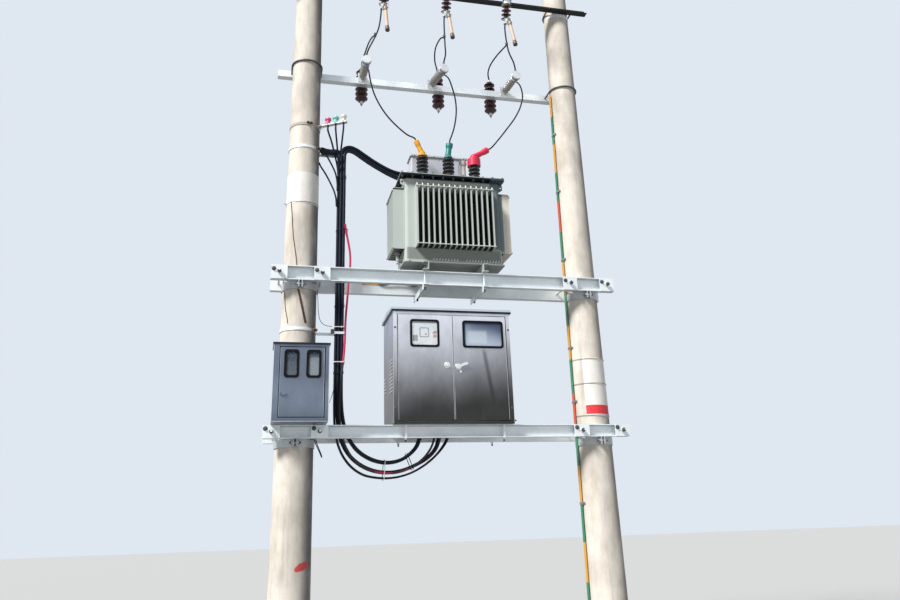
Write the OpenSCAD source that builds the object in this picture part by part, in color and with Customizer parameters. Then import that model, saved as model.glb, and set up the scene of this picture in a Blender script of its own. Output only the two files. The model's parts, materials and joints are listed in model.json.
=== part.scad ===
// Two-pole station for an oil-filled distribution transformer.
// X runs from the left pole to the right pole, -Y is the side of the cabinet doors, Z is up.
// The origin is on the ground, on the axis of the left pole.

/* [Poles] */
// Distance between the axes of the two poles
pole_spacing = 2500; // [2300:10:2900]
// Height of the poles above the ground
pole_h = 10000; // [8500:100:12000]
// Diameter of a pole at the ground
pole_base_d = 323; // [300:1:360]
// Diameter of a pole at its top
pole_top_d = 190; // [160:1:220]

/* [Platform steel] */
// Length of every platform beam past the axis of a pole
beam_overhang = 240; // [240:5:400]
// Height above the ground of the top of the transformer beams
t_beam_top = 3400; // [3300:10:3700]
// Depth of the transformer beam section
t_beam_h = 120; // [100:2:140]
// Flange width of the transformer beams
t_beam_b = 53; // [45:1:65]
// Height above the ground of the top of the cabinet beams
c_beam_top = 2120; // [2000:10:2200]
// Depth of the cabinet beam section
c_beam_h = 100; // [80:2:120]
// Flange width of the cabinet beams
c_beam_b = 48; // [42:1:60]
// Web thickness of all beams
beam_web = 5.5; // [5:0.5:8]
// Mean flange thickness of all beams
beam_flange = 9; // [7:0.5:11]
// Diameter of the long bolts that draw two beams on to a pole
clamp_bolt_d = 20; // [16:1:24]
// Gap between a pole and a long bolt
clamp_bolt_gap = 22; // [20:1:30]
// Width of the pad plates under the nuts of the long bolts
pad_w = 130; // [100:5:130]
// Thickness of the pad plates
pad_t = 8; // [6:1:12]
// Height of the pole hoops that carry the beams
hoop_h = 60; // [50:5:100]
// Thickness of the hoops
hoop_t = 8; // [6:1:9]

/* [Transformer] */
// Middle of the transformer, measured from the left pole
tank_x = 1290; // [1200:5:1350]
// Length of the tank between its end walls
tank_w = 860; // [800:10:950]
// Depth of the tank between its front and back walls
tank_d = 400; // [360:10:450]
// Height of the tank walls
tank_h = 780; // [650:5:850]
// Length of the cover plate
cover_w = 940; // [930:5:1050]
// Depth of the cover plate
cover_d = 500; // [480:5:560]
// Thickness of the cover plate
cover_t = 12; // [8:1:16]
// Height of the two feet under the tank
foot_h = 70; // [60:5:80]
// How far a foot stands out past the tank at each end
foot_past = 50; // [40:5:80]
// Distance between the hold-down studs along the beams
foot_gauge = 520; // [450:10:600]
// Number of fins on a long wall
fin_count = 15; // [9:1:16]
// Spacing of the fins on the long walls
fin_pitch = 48; // [40:1:50]
// Number of fins on an end wall
side_fin_count = 7; // [5:1:7]
// Pitch of the fins on the end walls
side_fin_pitch = 52; // [46:1:54]
// How far a fin stands out from its wall
fin_depth = 98; // [60:2:110]
// Thickness of a fin
fin_t = 13; // [8:1:16]
// Height of the fins
fin_h = 565; // [450:5:600]
// Radius of the outer corners of a fin
fin_round = 14; // [6:1:30]
// Height of the lower end of the fins above the tank floor
fin_lift = 120; // [80:5:140]
// Spacing of the high-voltage bushings
bushing_pitch = 242; // [200:2:270]
// Height of a high-voltage bushing above the cover
bushing_h = 243; // [220:1:320]
// Height of the low-voltage terminal box above the cover
lv_box_h = 315; // [300:5:420]

/* [Low-voltage cabinet] */
// Middle of the cabinet, measured from the left pole
cab_x = 1235; // [1200:5:1300]
// Width of the cabinet
cab_w = 985; // [900:5:1050]
// Depth of the cabinet
cab_d = 500; // [480:10:600]
// Height of the cabinet under its roof
cab_h = 905; // [860:5:950]
// Height of the edge of the roof
cab_roof_h = 32; // [20:1:50]
// Sheet thickness of both boxes
sheet_t = 2; // [1.5:0.5:3]
// Width of the front posts of the cabinet
post_w = 32; // [28:1:45]
// Height of the front rails of the cabinet
rail_h = 20; // [16:1:30]
// Depth of the posts and rails of both boxes
frame_d = 28; // [26:1:40]
// Thickness of a door leaf of the cabinet
door_t = 20; // [18:1:25]
// Height of the windows of the cabinet
window_h = 212; // [180:2:240]

/* [Meter box] */
// Middle of the meter box, measured from the left pole
box_x = 20; // [0:1:60]
// Width of the meter box
box_w = 415; // [400:5:460]
// Height of the meter box
box_h = 592; // [560:2:640]
// Depth of the meter box
box_d = 240; // [220:5:280]
// Width of the post of the meter box beside its handle
box_post_w = 44; // [36:1:60]
// Width of the posts and rails on its other sides
box_rail_w = 28; // [22:1:40]
// Thickness of the door of the meter box
box_door_t = 16; // [14:1:20]

/* [Crossarms] */
// Height above the ground of the top of the arrester crossarm
a_arm_top = 5420; // [5200:10:5600]
// Height above the ground of the lower edge of the fuse crossarm
f_arm_low = 6240; // [6150:10:6300]
// Distance of the line crossarm below the pole tops
l_arm_drop = 600; // [400:10:800]
// Leg width of the crossarm angles
arm_leg = 63; // [56:1:70]
// Thickness of the crossarm angles
arm_t = 6; // [5:1:8]
// Rod diameter of the U-bolts
u_bolt_d = 16; // [12:1:18]
// Spacing of the drop-out fuses
fuse_pitch = 605; // [560:5:650]
// Lean of a fuse body from the vertical
fuse_lean = 20; // [15:1:25]
// Distance from the hinge of a fuse tube to its upper contact
fuse_tube_l = 380; // [340:5:400]
// Diameter of a fuse tube
fuse_tube_d = 32; // [26:1:38]
// Length of a post insulator
post_l = 270; // [220:5:300]
// Length of the body of an arrester
arrester_h = 350; // [300:5:400]
// Diameter of the sheds of an arrester
arrester_d = 120; // [100:2:130]

/* [Hidden] */

$fn = 48;

// Gap left between two pieces that seat on each other
seat_gap = 0.3;
// Play of a rod in its hole, on the radius
rod_play = 1;
// Gap round a closed door leaf
leaf_gap = 6;
// Gap beside a closed leaf at its hinges
hinge_gap = 8;
// Distance of a hinge axis from the edge and from the face of its leaf
hinge_in = 6;
hinge_pin_d = 8;

// Radius of a pole at a height above the ground
function pole_r(z) = pole_base_d / 2 - z * (pole_base_d - pole_top_d) / (2 * pole_h);

beam_len = pole_spacing + 2 * beam_overhang;
pole_xs = [0, pole_spacing];
t_beam_low = t_beam_top - t_beam_h;
c_beam_low = c_beam_top - c_beam_h;
// Distance of the back of a web from the plane of the poles
t_web_y = pole_r(t_beam_low) + seat_gap;
c_web_y = pole_r(c_beam_low) + seat_gap;
// Distance of a long bolt from the axis of its pole
t_bolt_x = pole_r(t_beam_low) + clamp_bolt_gap + clamp_bolt_d / 2;
c_bolt_x = pole_r(c_beam_low) + clamp_bolt_gap + clamp_bolt_d / 2;

// Transformer
stud_d = 16;
foot_b = 46;
foot_wall = 6;
base_t = 10;
base_past = 15;
rim_t = 10;
tank_corner = 35;
foot_len = tank_d + 2 * foot_past;
stud_y = t_web_y + t_beam_b * 0.55;
stud_xs = [tank_x - foot_gauge / 2, tank_x + foot_gauge / 2];
tie_angle = 50;
tank_floor = t_beam_top + foot_h + base_t;
rim_z = tank_floor + tank_h;
cover_z = rim_z + rim_t;
cover_top = cover_z + cover_t;
bushing_y = -80;
bushing_d = 108;
bushing_xs = [tank_x - bushing_pitch, tank_x, tank_x + bushing_pitch];
boot_z = cover_top + bushing_h;
lv_box_w = 520;
lv_box_d = 160;
lv_box_x = tank_x - 57;
lv_box_y = 140;
gland_l = 40;
gland_z = cover_top + 138;
supply_pitch = 44;

// Cabinet
cab_left = cab_x - cab_w / 2;
cab_right = cab_x + cab_w / 2;
cab_front = -cab_d / 2;
cab_low = c_beam_top;
cab_top = cab_low + cab_h;
cab_frame_back = cab_front + frame_d;
leaf_low = cab_low + rail_h + leaf_gap;
leaf_h = cab_h - 2 * (rail_h + leaf_gap);
leaf_w = cab_w / 2 - post_w - hinge_gap - leaf_gap / 2;
leaf_lefts = [cab_left + post_w + hinge_gap, cab_right - post_w - hinge_gap - leaf_w];
window_z = cab_low + 620;
window_xs = [leaf_lefts[0] + leaf_w * 0.24, leaf_lefts[1] + leaf_w * 0.2];
window_ws = [leaf_w * 0.5, leaf_w * 0.735];
gasket_w = 18;
gasket_t = 5;
pane_t = 4;
knob_x = cab_x - 52;
handle_x = cab_x + 40;
handle_z = cab_low + 455;
spindle_d = 20;
plate_y = 180;
plate_t = 3;
board_y = -60;
cab_strap_xs = [cab_x - cab_w * 0.393, cab_x + cab_w * 0.423];
cab_strap_y = c_web_y + c_beam_b * 0.55;

// Meter box
box_left = box_x - box_w / 2;
box_right = box_x + box_w / 2;
box_low = c_beam_top;
box_top = box_low + box_h;
box_roof_t = 14;
box_back = -(pole_r(box_low) + 14);
box_front = box_back - box_d;
box_frame_back = box_front + frame_d - 6;
box_leaf_low = box_low + box_rail_w + leaf_gap;
box_leaf_h = box_h - box_roof_t - 16 - box_rail_w - 2 * leaf_gap;
box_leaf_left = box_left + box_post_w + leaf_gap;
box_leaf_w = box_w - box_post_w - box_rail_w - leaf_gap - hinge_gap;
box_window_w = box_leaf_w * 0.285;
box_window_h = 196;
box_window_z = box_low + 332;
box_window_xs = [box_leaf_left + box_leaf_w * 0.115, box_leaf_left + box_leaf_w * 0.617];
box_meter_front = box_front + 62;

// Crossarms
a_arm_y = pole_r(a_arm_top - arm_leg) + seat_gap;
f_arm_y = pole_r(f_arm_low) + seat_gap;
l_arm_top = pole_h - l_arm_drop;
l_arm_y = pole_r(l_arm_top - arm_leg) + seat_gap;
arm_past_left = 260;
a_arm_past_right = 100;
arm_past_right = 270;
a_bolt_z = a_arm_top - arm_leg / 2;
f_bolt_z = f_arm_low + arm_leg / 2 + 3;
l_bolt_z = l_arm_top - arm_leg / 2;
post_xs = [524, 1198, 1939];
post_swings = [2, 17, 10];
post_tilt = 7;
post_z = a_arm_top + 2;
post_cap_d = 84;
arrester_xs = [532, 1291, 1826];
arrester_z = a_arm_top - 8;
arrester_y = a_arm_y + arm_leg + arrester_d / 2 + 4;
arrester_end = arrester_z + arrester_h / 2 + 26;
fuse_x = 1290;
fuse_xs = [fuse_x - fuse_pitch, fuse_x, fuse_x + fuse_pitch];
fuse_hinge_y = -285;
fuse_hinge_z = f_arm_low - 290;
fuse_offset = 120;
fuse_band = 220;
fuse_post_d = 56;
line_xs = [fuse_x - 700, fuse_x, fuse_x + 700];

// Place in the station of a point given in the frame of a fuse
function fuse_point(x, p) = [x + p.x, fuse_hinge_y + p.y * cos(fuse_lean) - p.z * sin(fuse_lean),
  fuse_hinge_z + p.y * sin(fuse_lean) + p.z * cos(fuse_lean)];
// Place of a point on the axis of a post insulator, at a distance from its base, and beside it
function post_point(i, l, side) = [
  post_xs[i] + l * cos(post_tilt) * sin(post_swings[i]) + side.x,
  a_arm_y - 6 - seat_gap - l * cos(post_tilt) * cos(post_swings[i]) + side.y,
  post_z + l * sin(post_tilt) + side.z];

// Low-voltage bracket at the left pole
lv_arm_z = 4745;
lv_arm_turn = -30;
lv_arm_w = 44;
lv_arm_t = 6;
lv_spool_rs = [225, 300, 375];
function lv_point(r, z) = [r * cos(lv_arm_turn), r * sin(lv_arm_turn), z];

// Cable bundles and what carries them
supply_d = 28;
feeder_d = 16;
bundle_x = 341.5;
bundle_y = 9.5;
cable_pitch = 29;
feeder_x = 303;
feeder_pitch = 17;
bracket_zs = [4510, 2876];
bracket_h = 24;
bracket_y = bundle_y + cable_pitch / 2 + supply_d / 2 + seat_gap;
cab_gland_x = 1075;
cab_gland_l = 32;
cab_gland_spread = 80;
cab_gland_pitch = 44;
feeder_gland_x = 1228;
feeder_gland_pitch = 30;

concrete = [0.80, 0.77, 0.72];
zinc = [0.74, 0.77, 0.80];
enamel = [0.70, 0.74, 0.72];
stainless = [0.55, 0.56, 0.57];
black = [0.09, 0.09, 0.11];
shed_red = [0.38, 0.07, 0.09];
porcelain = [0.83, 0.83, 0.82];
pane_grey = [0.80, 0.84, 0.86];

// Routes of the cables: points chosen by hand between the ends that hold them
hv_d = 14;
boot_necks = [[-24, 140, 36], [8, 128, 44], [57, 175, 42]];
function boot_end(i) = [bushing_xs[i] + boot_necks[i][1] * sin(boot_necks[i][0]), bushing_y,
  boot_z + 34 + boot_necks[i][1] * cos(boot_necks[i][0])];
function boot_way(i, l) = boot_end(i) + l * [sin(boot_necks[i][0]), 0, cos(boot_necks[i][0])];
function drop_start(i, l) = fuse_point(fuse_xs[i], [-34, 25, -16 - seat_gap - l]);
function drop_end(i, l) = post_point(i, post_l - 22, [0, 0, post_cap_d / 2 + seat_gap + 1 + l]);
function tail_start(i, l) = post_point(i, post_l - 22, [0, 0, -post_cap_d / 2 - seat_gap - 1 - l]);

left_drop = concat([drop_start(0, 0), drop_start(0, 50)],
  [[634, -222, 5760], [608, -205, 5680], [572, -190, 5600], [546, -172, 5545]], [drop_end(0, 14), drop_end(0, 0)]);
middle_drop = concat([drop_start(1, 0), drop_start(1, 50)],
  [[1262, -215, 5740], [1266, -205, 5650], [1273, -185, 5570]], [drop_end(1, 26), drop_end(1, 0)]);
right_drop = concat([drop_start(2, 0), drop_start(2, 50)],
  [[1880, -215, 5740], [1900, -205, 5650], [1948, -180, 5560]], [drop_end(2, 26), drop_end(2, 0)]);
left_tail = concat([tail_start(0, 0), tail_start(0, 14)],
  [[548, -150, 5330], [572, -130, 5220], [605, -118, 5110], [665, -108, 4990], [745, -100, 4880],
   [840, -90, 4790], [915, -83, 4735]], [boot_way(0, 22), boot_way(0, seat_gap)]);
middle_tail = concat([tail_start(1, 0), tail_start(1, 14)],
  [[1302, -152, 5330], [1340, -140, 5230], [1366, -130, 5120], [1374, -118, 5010], [1362, -104, 4890],
   [1338, -90, 4790]], [boot_way(1, 30), boot_way(1, seat_gap)]);
right_tail = concat([tail_start(2, 0), tail_start(2, 14)],
  [[2008, -150, 5330], [2030, -140, 5230], [2004, -128, 5110], [1945, -114, 4990], [1868, -100, 4880],
   [1790, -88, 4775]], [boot_way(2, 30), boot_way(2, seat_gap)]);
left_spur = [[596, -202, 5678], [580, -150, 5690], [567, 20, 5735], [556, 160, 5735], [540, 235, 5700],
  [arrester_xs[0], arrester_y, arrester_end + 40], [arrester_xs[0], arrester_y, arrester_end + seat_gap]];
middle_spur = [[1255, -214, 5735], [1236, -180, 5748], [1222, -30, 5760], [1230, 80, 5755],
  [1252, 180, 5720], [1282, 240, 5680], [arrester_xs[1], arrester_y, arrester_end + 30],
  [arrester_xs[1], arrester_y, arrester_end + seat_gap]];
right_spur = [[1874, -211, 5725], [1855, -170, 5715], [1818, -50, 5700], [1796, 80, 5684],
  [1799, 180, 5665], [1818, 240, 5645], [arrester_xs[2], arrester_y, arrester_end + 22],
  [arrester_xs[2], arrester_y, arrester_end + seat_gap]];

// Middle of the supply bundle: point, half of its spread in Y and half of its spread in its own plane
supply_route = [
  [[lv_box_x - lv_box_w / 2 - gland_l - seat_gap, lv_box_y, gland_z], supply_pitch / 2, supply_pitch / 2],
  [[880, lv_box_y, gland_z], 21, 21], [[800, 130, 4438], 17, 17], [[710, 110, 4470], 15, 15],
  [[620, 90, 4510], 15, 15],
  [[530, 62, 4553], 15, 15], [[455, 36, 4588], 14.5, 14.5], [[400, 16, 4594], 14.5, 14.5],
  [[364, 10, 4578], 14.5, 14.5], [[346, 9.5, 4540], 14.5, 14.5], [[341.5, 9.5, 4490], 14.5, 14.5],
  [[341.5, 9.5, 4150], 14.5, 14.5], [[341.5, 9.5, 3750], 14.5, 14.5], [[341.5, 9.5, 3350], 14.5, 14.5],
  [[341.5, 9.5, 2950], 14.5, 14.5], [[341.5, 9.5, 2550], 14.5, 14.5], [[343, 9.5, 2340], 15, 16],
  [[351, 10, 2205], 16, 20], [[372, 10, 2090], 17, 26], [[410, 10, 1997], 18, 32], [[470, 10, 1917], 19, 36],
  [[550, 10, 1858], 20, 38], [[645, 10, 1821], 21, 38], [[745, 10, 1811], 22, 38], [[845, 10, 1828], 22, 40],
  [[935, 10, 1870], 22, 48], [[1010, 10, 1925], 22, 62], [[1058, 10, 1990], 22, 76],
  [[cab_gland_x, 10, 2050], 22, 80],
  [[cab_gland_x, 10, cab_low - cab_gland_l - seat_gap], cab_gland_pitch / 2, cab_gland_spread]];
feeder_route = [[303, 5, 4330], [303, 5, 4000], [303, 5, 3600], [303, 5, 3200], [303, 5, 2800], [303, 5, 2450],
  [304, 5, 2260], [312, 5, 2120], [334, 5, 2005], [380, 5, 1900], [450, 5, 1815], [540, 5, 1758], [640, 5, 1735],
  [745, 5, 1730], [850, 5, 1745], [950, 5, 1780], [1045, 5, 1835], [1130, 5, 1905], [1190, 5, 1975],
  [1220, 5, 2025], [feeder_gland_x, 5, 2060], [feeder_gland_x, 5, cab_low - cab_gland_l - seat_gap]];
feeder_starts = [
  [[232, -60, 4620], [266, 0, 4530], [292, 22, 4430]],
  [[272, -110, 4620], [287, -62, 4530], [299, -20, 4430]],
  [[320, -165, 4620], [314, -110, 4530], [306, -48, 4430]]];

// Helpers

function unit(v) = v / norm(v);
function heading(p, i) =
  i == 0 ? unit(p[1] - p[0]) :
  i == len(p) - 1 ? unit(p[i] - p[i - 1]) :
  unit(unit(p[i + 1] - p[i]) + unit(p[i] - p[i - 1]));
// Side vectors of all rings, each carried along the route from the last without twist
function sides(p, i = 0, last = undef) =
  let (t = heading(p, i), s = is_undef(last) ? (abs(t.y) < 0.9 ? [0, 1, 0] : [1, 0, 0]) : last,
       n = unit(s - (s * t) * t))
  i == len(p) - 1 ? [n] : concat([n], sides(p, i + 1, n));
// One cable of a bundle, at a share u, v of the spread
function strand(route, u, v) =
  let (p = [for (r = route) r[0]])
  [for (i = [0:len(p) - 1]) let (t = heading(p, i), s = unit([0, 1, 0] - t.y * t))
    p[i] + u * route[i][1] * s + v * route[i][2] * cross(t, s)];

// Round tube swept along the points of a route
module swept_tube(p, d, n = 8) {
  s = sides(p);
  rings = [for (i = [0:len(p) - 1])
    let (q = cross(heading(p, i), s[i]))
    for (k = [0:n - 1]) p[i] + d / 2 * (cos(360 * k / n) * s[i] + sin(360 * k / n) * q)];
  last = (len(p) - 1) * n;
  walls = [for (i = [0:len(p) - 2]) for (k = [0:n - 1])
    [i * n + k, (i + 1) * n + k, (i + 1) * n + (k + 1) % n, i * n + (k + 1) % n]];
  ends = [[for (k = [0:n - 1]) k], [for (k = [n - 1:-1:0]) last + k]];
  polyhedron(points = rings, faces = concat(walls, ends), convexity = 6);
}

// Rolled channel along X, its web's back on y = 0 and its flanges towards -Y
module channel(len, h, b) {
  rotate([90, 0, 90]) linear_extrude(len) polygon([[0, 0], [-b, 0], [-b, beam_flange - 2],
    [-beam_web, beam_flange + 2], [-beam_web, h - beam_flange - 2], [-b, h - beam_flange + 2], [-b, h], [0, h]]);
}

// Equal angle along X: one leg upright on y = 0 towards -Y, the other level at its foot
module angle_bar(len, leg, t) {
  rotate([90, 0, 90]) linear_extrude(len)
    polygon([[0, 0], [-leg, 0], [-leg, t], [-t, t], [-t, leg], [0, leg]]);
}

// Rectangle with round corners, centred
module rounded_rect(w, d, r) {
  square([w - 2 * r, d], center = true);
  square([w, d - 2 * r], center = true);
  for (sx = [-1, 1], sy = [-1, 1]) translate([sx * (w / 2 - r), sy * (d / 2 - r)]) circle(r);
}

module hex_nut(d, h) {
  cylinder(d = d * 1.8, h = h, $fn = 6);
}

// Cylinder along Y from y0 to y1
module rod_y(x, z, y0, y1, d) {
  translate([x, y0, z]) rotate([-90, 0, 0]) cylinder(d = d, h = y1 - y0);
}

// Ring profile of an insulator: a core with sheds that slope down on both faces, standing on z = 0
module sheds(length, core_d, shed_d, count) {
  pitch = length / count;
  rotate_extrude() polygon(concat([[0, 0], [core_d / 2, 0]],
    [for (i = [0:count - 1]) each [
      [core_d / 2, i * pitch + pitch * 0.22], [shed_d / 2, i * pitch + pitch * 0.34],
      [shed_d / 2, i * pitch + pitch * 0.44], [core_d / 2, i * pitch + pitch * 0.86]]],
    [[core_d / 2, length], [0, length]]));
}

// Band round a pole, from z to z + h
module pole_band(z, h, t) {
  ri = pole_r(z) + seat_gap;
  translate([0, 0, z]) difference() {
    cylinder(r = ri + t, h = h, $fn = 64);
    translate([0, 0, -1]) cylinder(r = ri, h = h + 2, $fn = 64);
  }
}

// Poles

module pole(x) {
  color(concrete) translate([x, 0, 0]) cylinder(d1 = pole_base_d, d2 = pole_top_d, h = pole_h, $fn = 64);
}

// Platform steel

// Long bolt with its two pad plates and nuts, at one side of a pole
module beam_clamp(x, low, h, web_y, b) {
  face = web_y + b;
  z = low + h / 2;
  for (s = [0, 1]) mirror([0, s, 0]) {
    translate([x - pad_w / 2, -face - pad_t, low + 1]) cube([pad_w, pad_t, h - 2]);
    translate([x, -face - pad_t, z]) rotate([90, 0, 0]) hex_nut(clamp_bolt_d, 16);
  }
  rod_y(x, z, -face - pad_t - 70, face + pad_t + 45, clamp_bolt_d);
}

module beam_clamps() {
  color(zinc) {
    for (px = pole_xs, s = [-1, 1]) beam_clamp(px + s * t_bolt_x, t_beam_low, t_beam_h, t_web_y, t_beam_b);
    for (px = pole_xs, s = [-1, 1]) beam_clamp(px + s * c_bolt_x, c_beam_low, c_beam_h, c_web_y, c_beam_b);
  }
}

// Holes in a pair of webs for the long bolts
module clamp_holes(low, h, bolt_x) {
  for (px = pole_xs, s = [-1, 1])
    rod_y(px + s * bolt_x, low + h / 2, -400, 400, clamp_bolt_d + 2 * rod_play);
}

module stud_holes() {
  for (x = stud_xs, s = [-1, 1])
    translate([x, s * stud_y, t_beam_low - 100]) cylinder(d = stud_d + 2 * rod_play, h = t_beam_h + 300);
}

module transformer_beams() {
  color(zinc) difference() {
    for (side = [0, 1]) mirror([0, side, 0])
      translate([-beam_overhang, -t_web_y, t_beam_low]) channel(beam_len, t_beam_h, t_beam_b);
    clamp_holes(t_beam_low, t_beam_h, t_bolt_x);
    stud_holes();
  }
}

cab_stud_d = 12;

module cabinet_beams() {
  color(zinc) difference() {
    for (side = [0, 1]) mirror([0, side, 0])
      translate([-beam_overhang, -c_web_y, c_beam_low]) channel(beam_len, c_beam_h, c_beam_b);
    clamp_holes(c_beam_low, c_beam_h, c_bolt_x);
    for (x = cab_strap_xs, s = [-1, 1])
      translate([x, s * cab_strap_y, c_beam_low - 60]) cylinder(d = cab_stud_d + 2 * rod_play, h = c_beam_h);
  }
}

// Split hoop round a pole with bolted ears at front and back, its top at z
module beam_hoop(x, z) {
  ri = pole_r(z - hoop_h) + seat_gap;
  ear_l = 52;
  ear_gap = 18;
  translate([x, 0, z - hoop_h]) {
    difference() {
      cylinder(r = ri + hoop_t, h = hoop_h, $fn = 64);
      translate([0, 0, -1]) cylinder(r = ri, h = hoop_h + 2, $fn = 64);
      translate([-ear_gap / 2, -ri - 60, -1]) cube([ear_gap, 2 * ri + 120, hoop_h + 2]);
    }
    for (s = [0, 1], m = [0, 1]) mirror([0, s, 0]) mirror([m, 0, 0])
      translate([ear_gap / 2, -ri - hoop_t - ear_l + 6, 0]) cube([hoop_t, ear_l, hoop_h]);
    for (s = [-1, 1]) translate([-ear_gap / 2 - hoop_t - 26, s * (ri + hoop_t + ear_l - 26), hoop_h / 2])
      rotate([0, 90, 0]) {
        cylinder(d = stud_d, h = ear_gap + 2 * hoop_t + 52);
        translate([0, 0, 14]) hex_nut(stud_d, 12);
        translate([0, 0, ear_gap + 2 * hoop_t + 26]) hex_nut(stud_d, 12);
      }
  }
}

module beam_hoops() {
  color(zinc) for (x = pole_xs) {
    beam_hoop(x, t_beam_low);
    beam_hoop(x, c_beam_low);
  }
}

// Transformer

// Foot channel along Y, its lower flange on the beams
module foot(x, out) {
  translate([x, foot_len / 2, t_beam_top]) mirror([out < 0 ? 1 : 0, 0, 0]) rotate([90, 0, 0]) linear_extrude(foot_len)
    translate([-foot_b / 2, 0]) difference() {
      square([foot_b, foot_h]);
      translate([foot_wall, foot_wall]) square([foot_b, foot_h - 2 * foot_wall]);
    }
}

module transformer_feet() {
  color(enamel) difference() {
    for (i = [0, 1]) foot(stud_xs[i], i == 0 ? -1 : 1);
    stud_holes();
  }
}

// Angle under both beams with its two studs, which hold a foot down
module hold_down(x) {
  bar_len = 2 * (t_web_y + t_beam_b) + 50;
  top_z = t_beam_top + foot_wall;
  translate([x - tie_angle / 2, -bar_len / 2, t_beam_low]) mirror([0, 0, 1]) {
    cube([tie_angle, bar_len, 5]);
    cube([5, bar_len, tie_angle]);
  }
  for (s = [-1, 1]) translate([x, s * stud_y, t_beam_low - 45]) {
    cylinder(d = stud_d, h = top_z - t_beam_low + 45 + 35);
    translate([0, 0, 45 - 5 - 13]) hex_nut(stud_d, 13);
    translate([0, 0, 45 + top_z - t_beam_low]) hex_nut(stud_d, 13);
  }
}

module transformer_hold_downs() {
  color(zinc) for (x = stud_xs) hold_down(x);
}

module transformer_tank() {
  color(enamel) translate([tank_x, 0, 0]) {
    translate([0, 0, tank_floor - base_t]) linear_extrude(base_t)
      rounded_rect(tank_w + 2 * base_past, tank_d + 2 * base_past, 20);
    translate([0, 0, tank_floor]) linear_extrude(tank_h) rounded_rect(tank_w, tank_d, tank_corner);
    translate([0, 0, rim_z]) linear_extrude(rim_t) rounded_rect(cover_w, cover_d, 8);
    // Lifting lugs beside the corners of the end walls
    for (sx = [-1, 1], sy = [-1, 1]) translate([sx * tank_w / 2, sy * (tank_d / 2 - 18), rim_z - 75])
      rotate([90, 0, 0]) linear_extrude(10, center = true) difference() {
        polygon([[-sx * 12, -20], [sx * 34, 10], [sx * 34, 55], [-sx * 12, 60]]);
        translate([sx * 18, 32]) circle(9);
      }
    // Drain valve low on the left end wall
    translate([-tank_w / 2 - 55, -60, tank_floor + 45]) rotate([0, 90, 0]) cylinder(d = 34, h = 60);
    translate([-tank_w / 2 - 45, -60, tank_floor + 15]) cylinder(d = 26, h = 62);
  }
}

module transformer_cover() {
  color(enamel) translate([tank_x, 0, cover_z]) linear_extrude(cover_t) rounded_rect(cover_w, cover_d, 8);
}

// Outline of one fin seen from its side, its root at y = 0
module fin_outline() {
  square([fin_depth - fin_round, fin_h]);
  translate([0, fin_round]) square([fin_depth, fin_h - 2 * fin_round]);
  for (z = [fin_round, fin_h - fin_round]) translate([fin_depth - fin_round, z]) circle(fin_round);
}

// Row of fins on a wall strip, drawn along X with the wall on y = 0 and the fins towards -Y
module fin_bank(count, pitch) {
  width = (count - 1) * pitch + fin_t;
  translate([-width / 2 - 14, -3, 0]) cube([width + 28, 3, fin_h]);
  for (i = [0:count - 1]) translate([(i - (count - 1) / 2) * pitch, 0, 0])
    rotate([0, 0, -90]) rotate([90, 0, 0]) linear_extrude(fin_t, center = true) fin_outline();
}

module cooling_fins() {
  color(enamel) {
    for (side = [0, 1]) mirror([0, side, 0])
      translate([tank_x, -tank_d / 2, tank_floor + fin_lift]) fin_bank(fin_count, fin_pitch);
    for (s = [-1, 1])
      translate([tank_x + s * tank_w / 2, 0, tank_floor + fin_lift]) rotate([0, 0, s * 90])
        fin_bank(side_fin_count, side_fin_pitch);
  }
}

module hv_bushings() {
  color(black) for (x = bushing_xs) translate([x, bushing_y, cover_top]) {
    cylinder(d = bushing_d, h = 16);
    translate([0, 0, 16]) cylinder(d = 66, h = 40);
    translate([0, 0, 56]) sheds(bushing_h - 56, 52, bushing_d, 5);
  }
}

// Insulating boot on a bushing: a skirt that may hang over its top sheds and a neck that bends towards the lead
module boot(i, skirt_d, bulb_d, skirt_h = 0, elbow_d = 58) {
  lean = boot_necks[i][0];
  neck_l = boot_necks[i][1];
  inner_r = bushing_d / 2 + 1.5;
  hang = skirt_h > 0 ? [[inner_r, seat_gap], [inner_r, -skirt_h], [skirt_d / 2, -skirt_h]] : [[skirt_d / 2, seat_gap]];
  translate([bushing_xs[i], bushing_y, boot_z]) {
    rotate_extrude() polygon(concat([[0, seat_gap]], hang, [[skirt_d / 2, 9], [elbow_d / 2, 30],
      [elbow_d / 2, 34], [0, 34]]));
    translate([0, 0, 34]) sphere(d = elbow_d);
    translate([0, 0, 34]) rotate([0, lean, 0]) {
      cylinder(d1 = elbow_d - 4, d2 = boot_necks[i][2] + 6, h = neck_l * 0.5);
      translate([0, 0, neck_l * 0.5]) cylinder(d1 = boot_necks[i][2] + 6, d2 = bulb_d, h = neck_l * 0.2);
      translate([0, 0, neck_l * 0.7]) cylinder(d = bulb_d, h = neck_l * 0.22);
      translate([0, 0, neck_l * 0.92]) cylinder(d1 = bulb_d, d2 = hv_d + 8, h = neck_l * 0.08);
    }
  }
}

module yellow_boot() {
  color([0.88, 0.62, 0.10]) boot(0, 98, 50);
}

module green_boot() {
  color([0.05, 0.45, 0.42]) boot(1, 84, 66);
}

module red_boot() {
  color([0.82, 0.08, 0.18]) boot(2, 122, 60, 62, 66);
}

module lv_terminal_box() {
  color([0.78, 0.77, 0.82]) {
    translate([lv_box_x, lv_box_y, cover_top]) linear_extrude(lv_box_h) rounded_rect(lv_box_w, lv_box_d, 12);
    translate([lv_box_x, lv_box_y, cover_top + lv_box_h]) linear_extrude(14)
      rounded_rect(lv_box_w + 24, lv_box_d + 24, 12);
    for (sy = [-1, 1], sz = [-1, 1])
      translate([lv_box_x - lv_box_w / 2 - gland_l, lv_box_y + sy * supply_pitch / 2, gland_z + sz * supply_pitch / 2])
        rotate([0, 90, 0]) cylinder(d = supply_d + 12, h = gland_l);
  }
}

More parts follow.
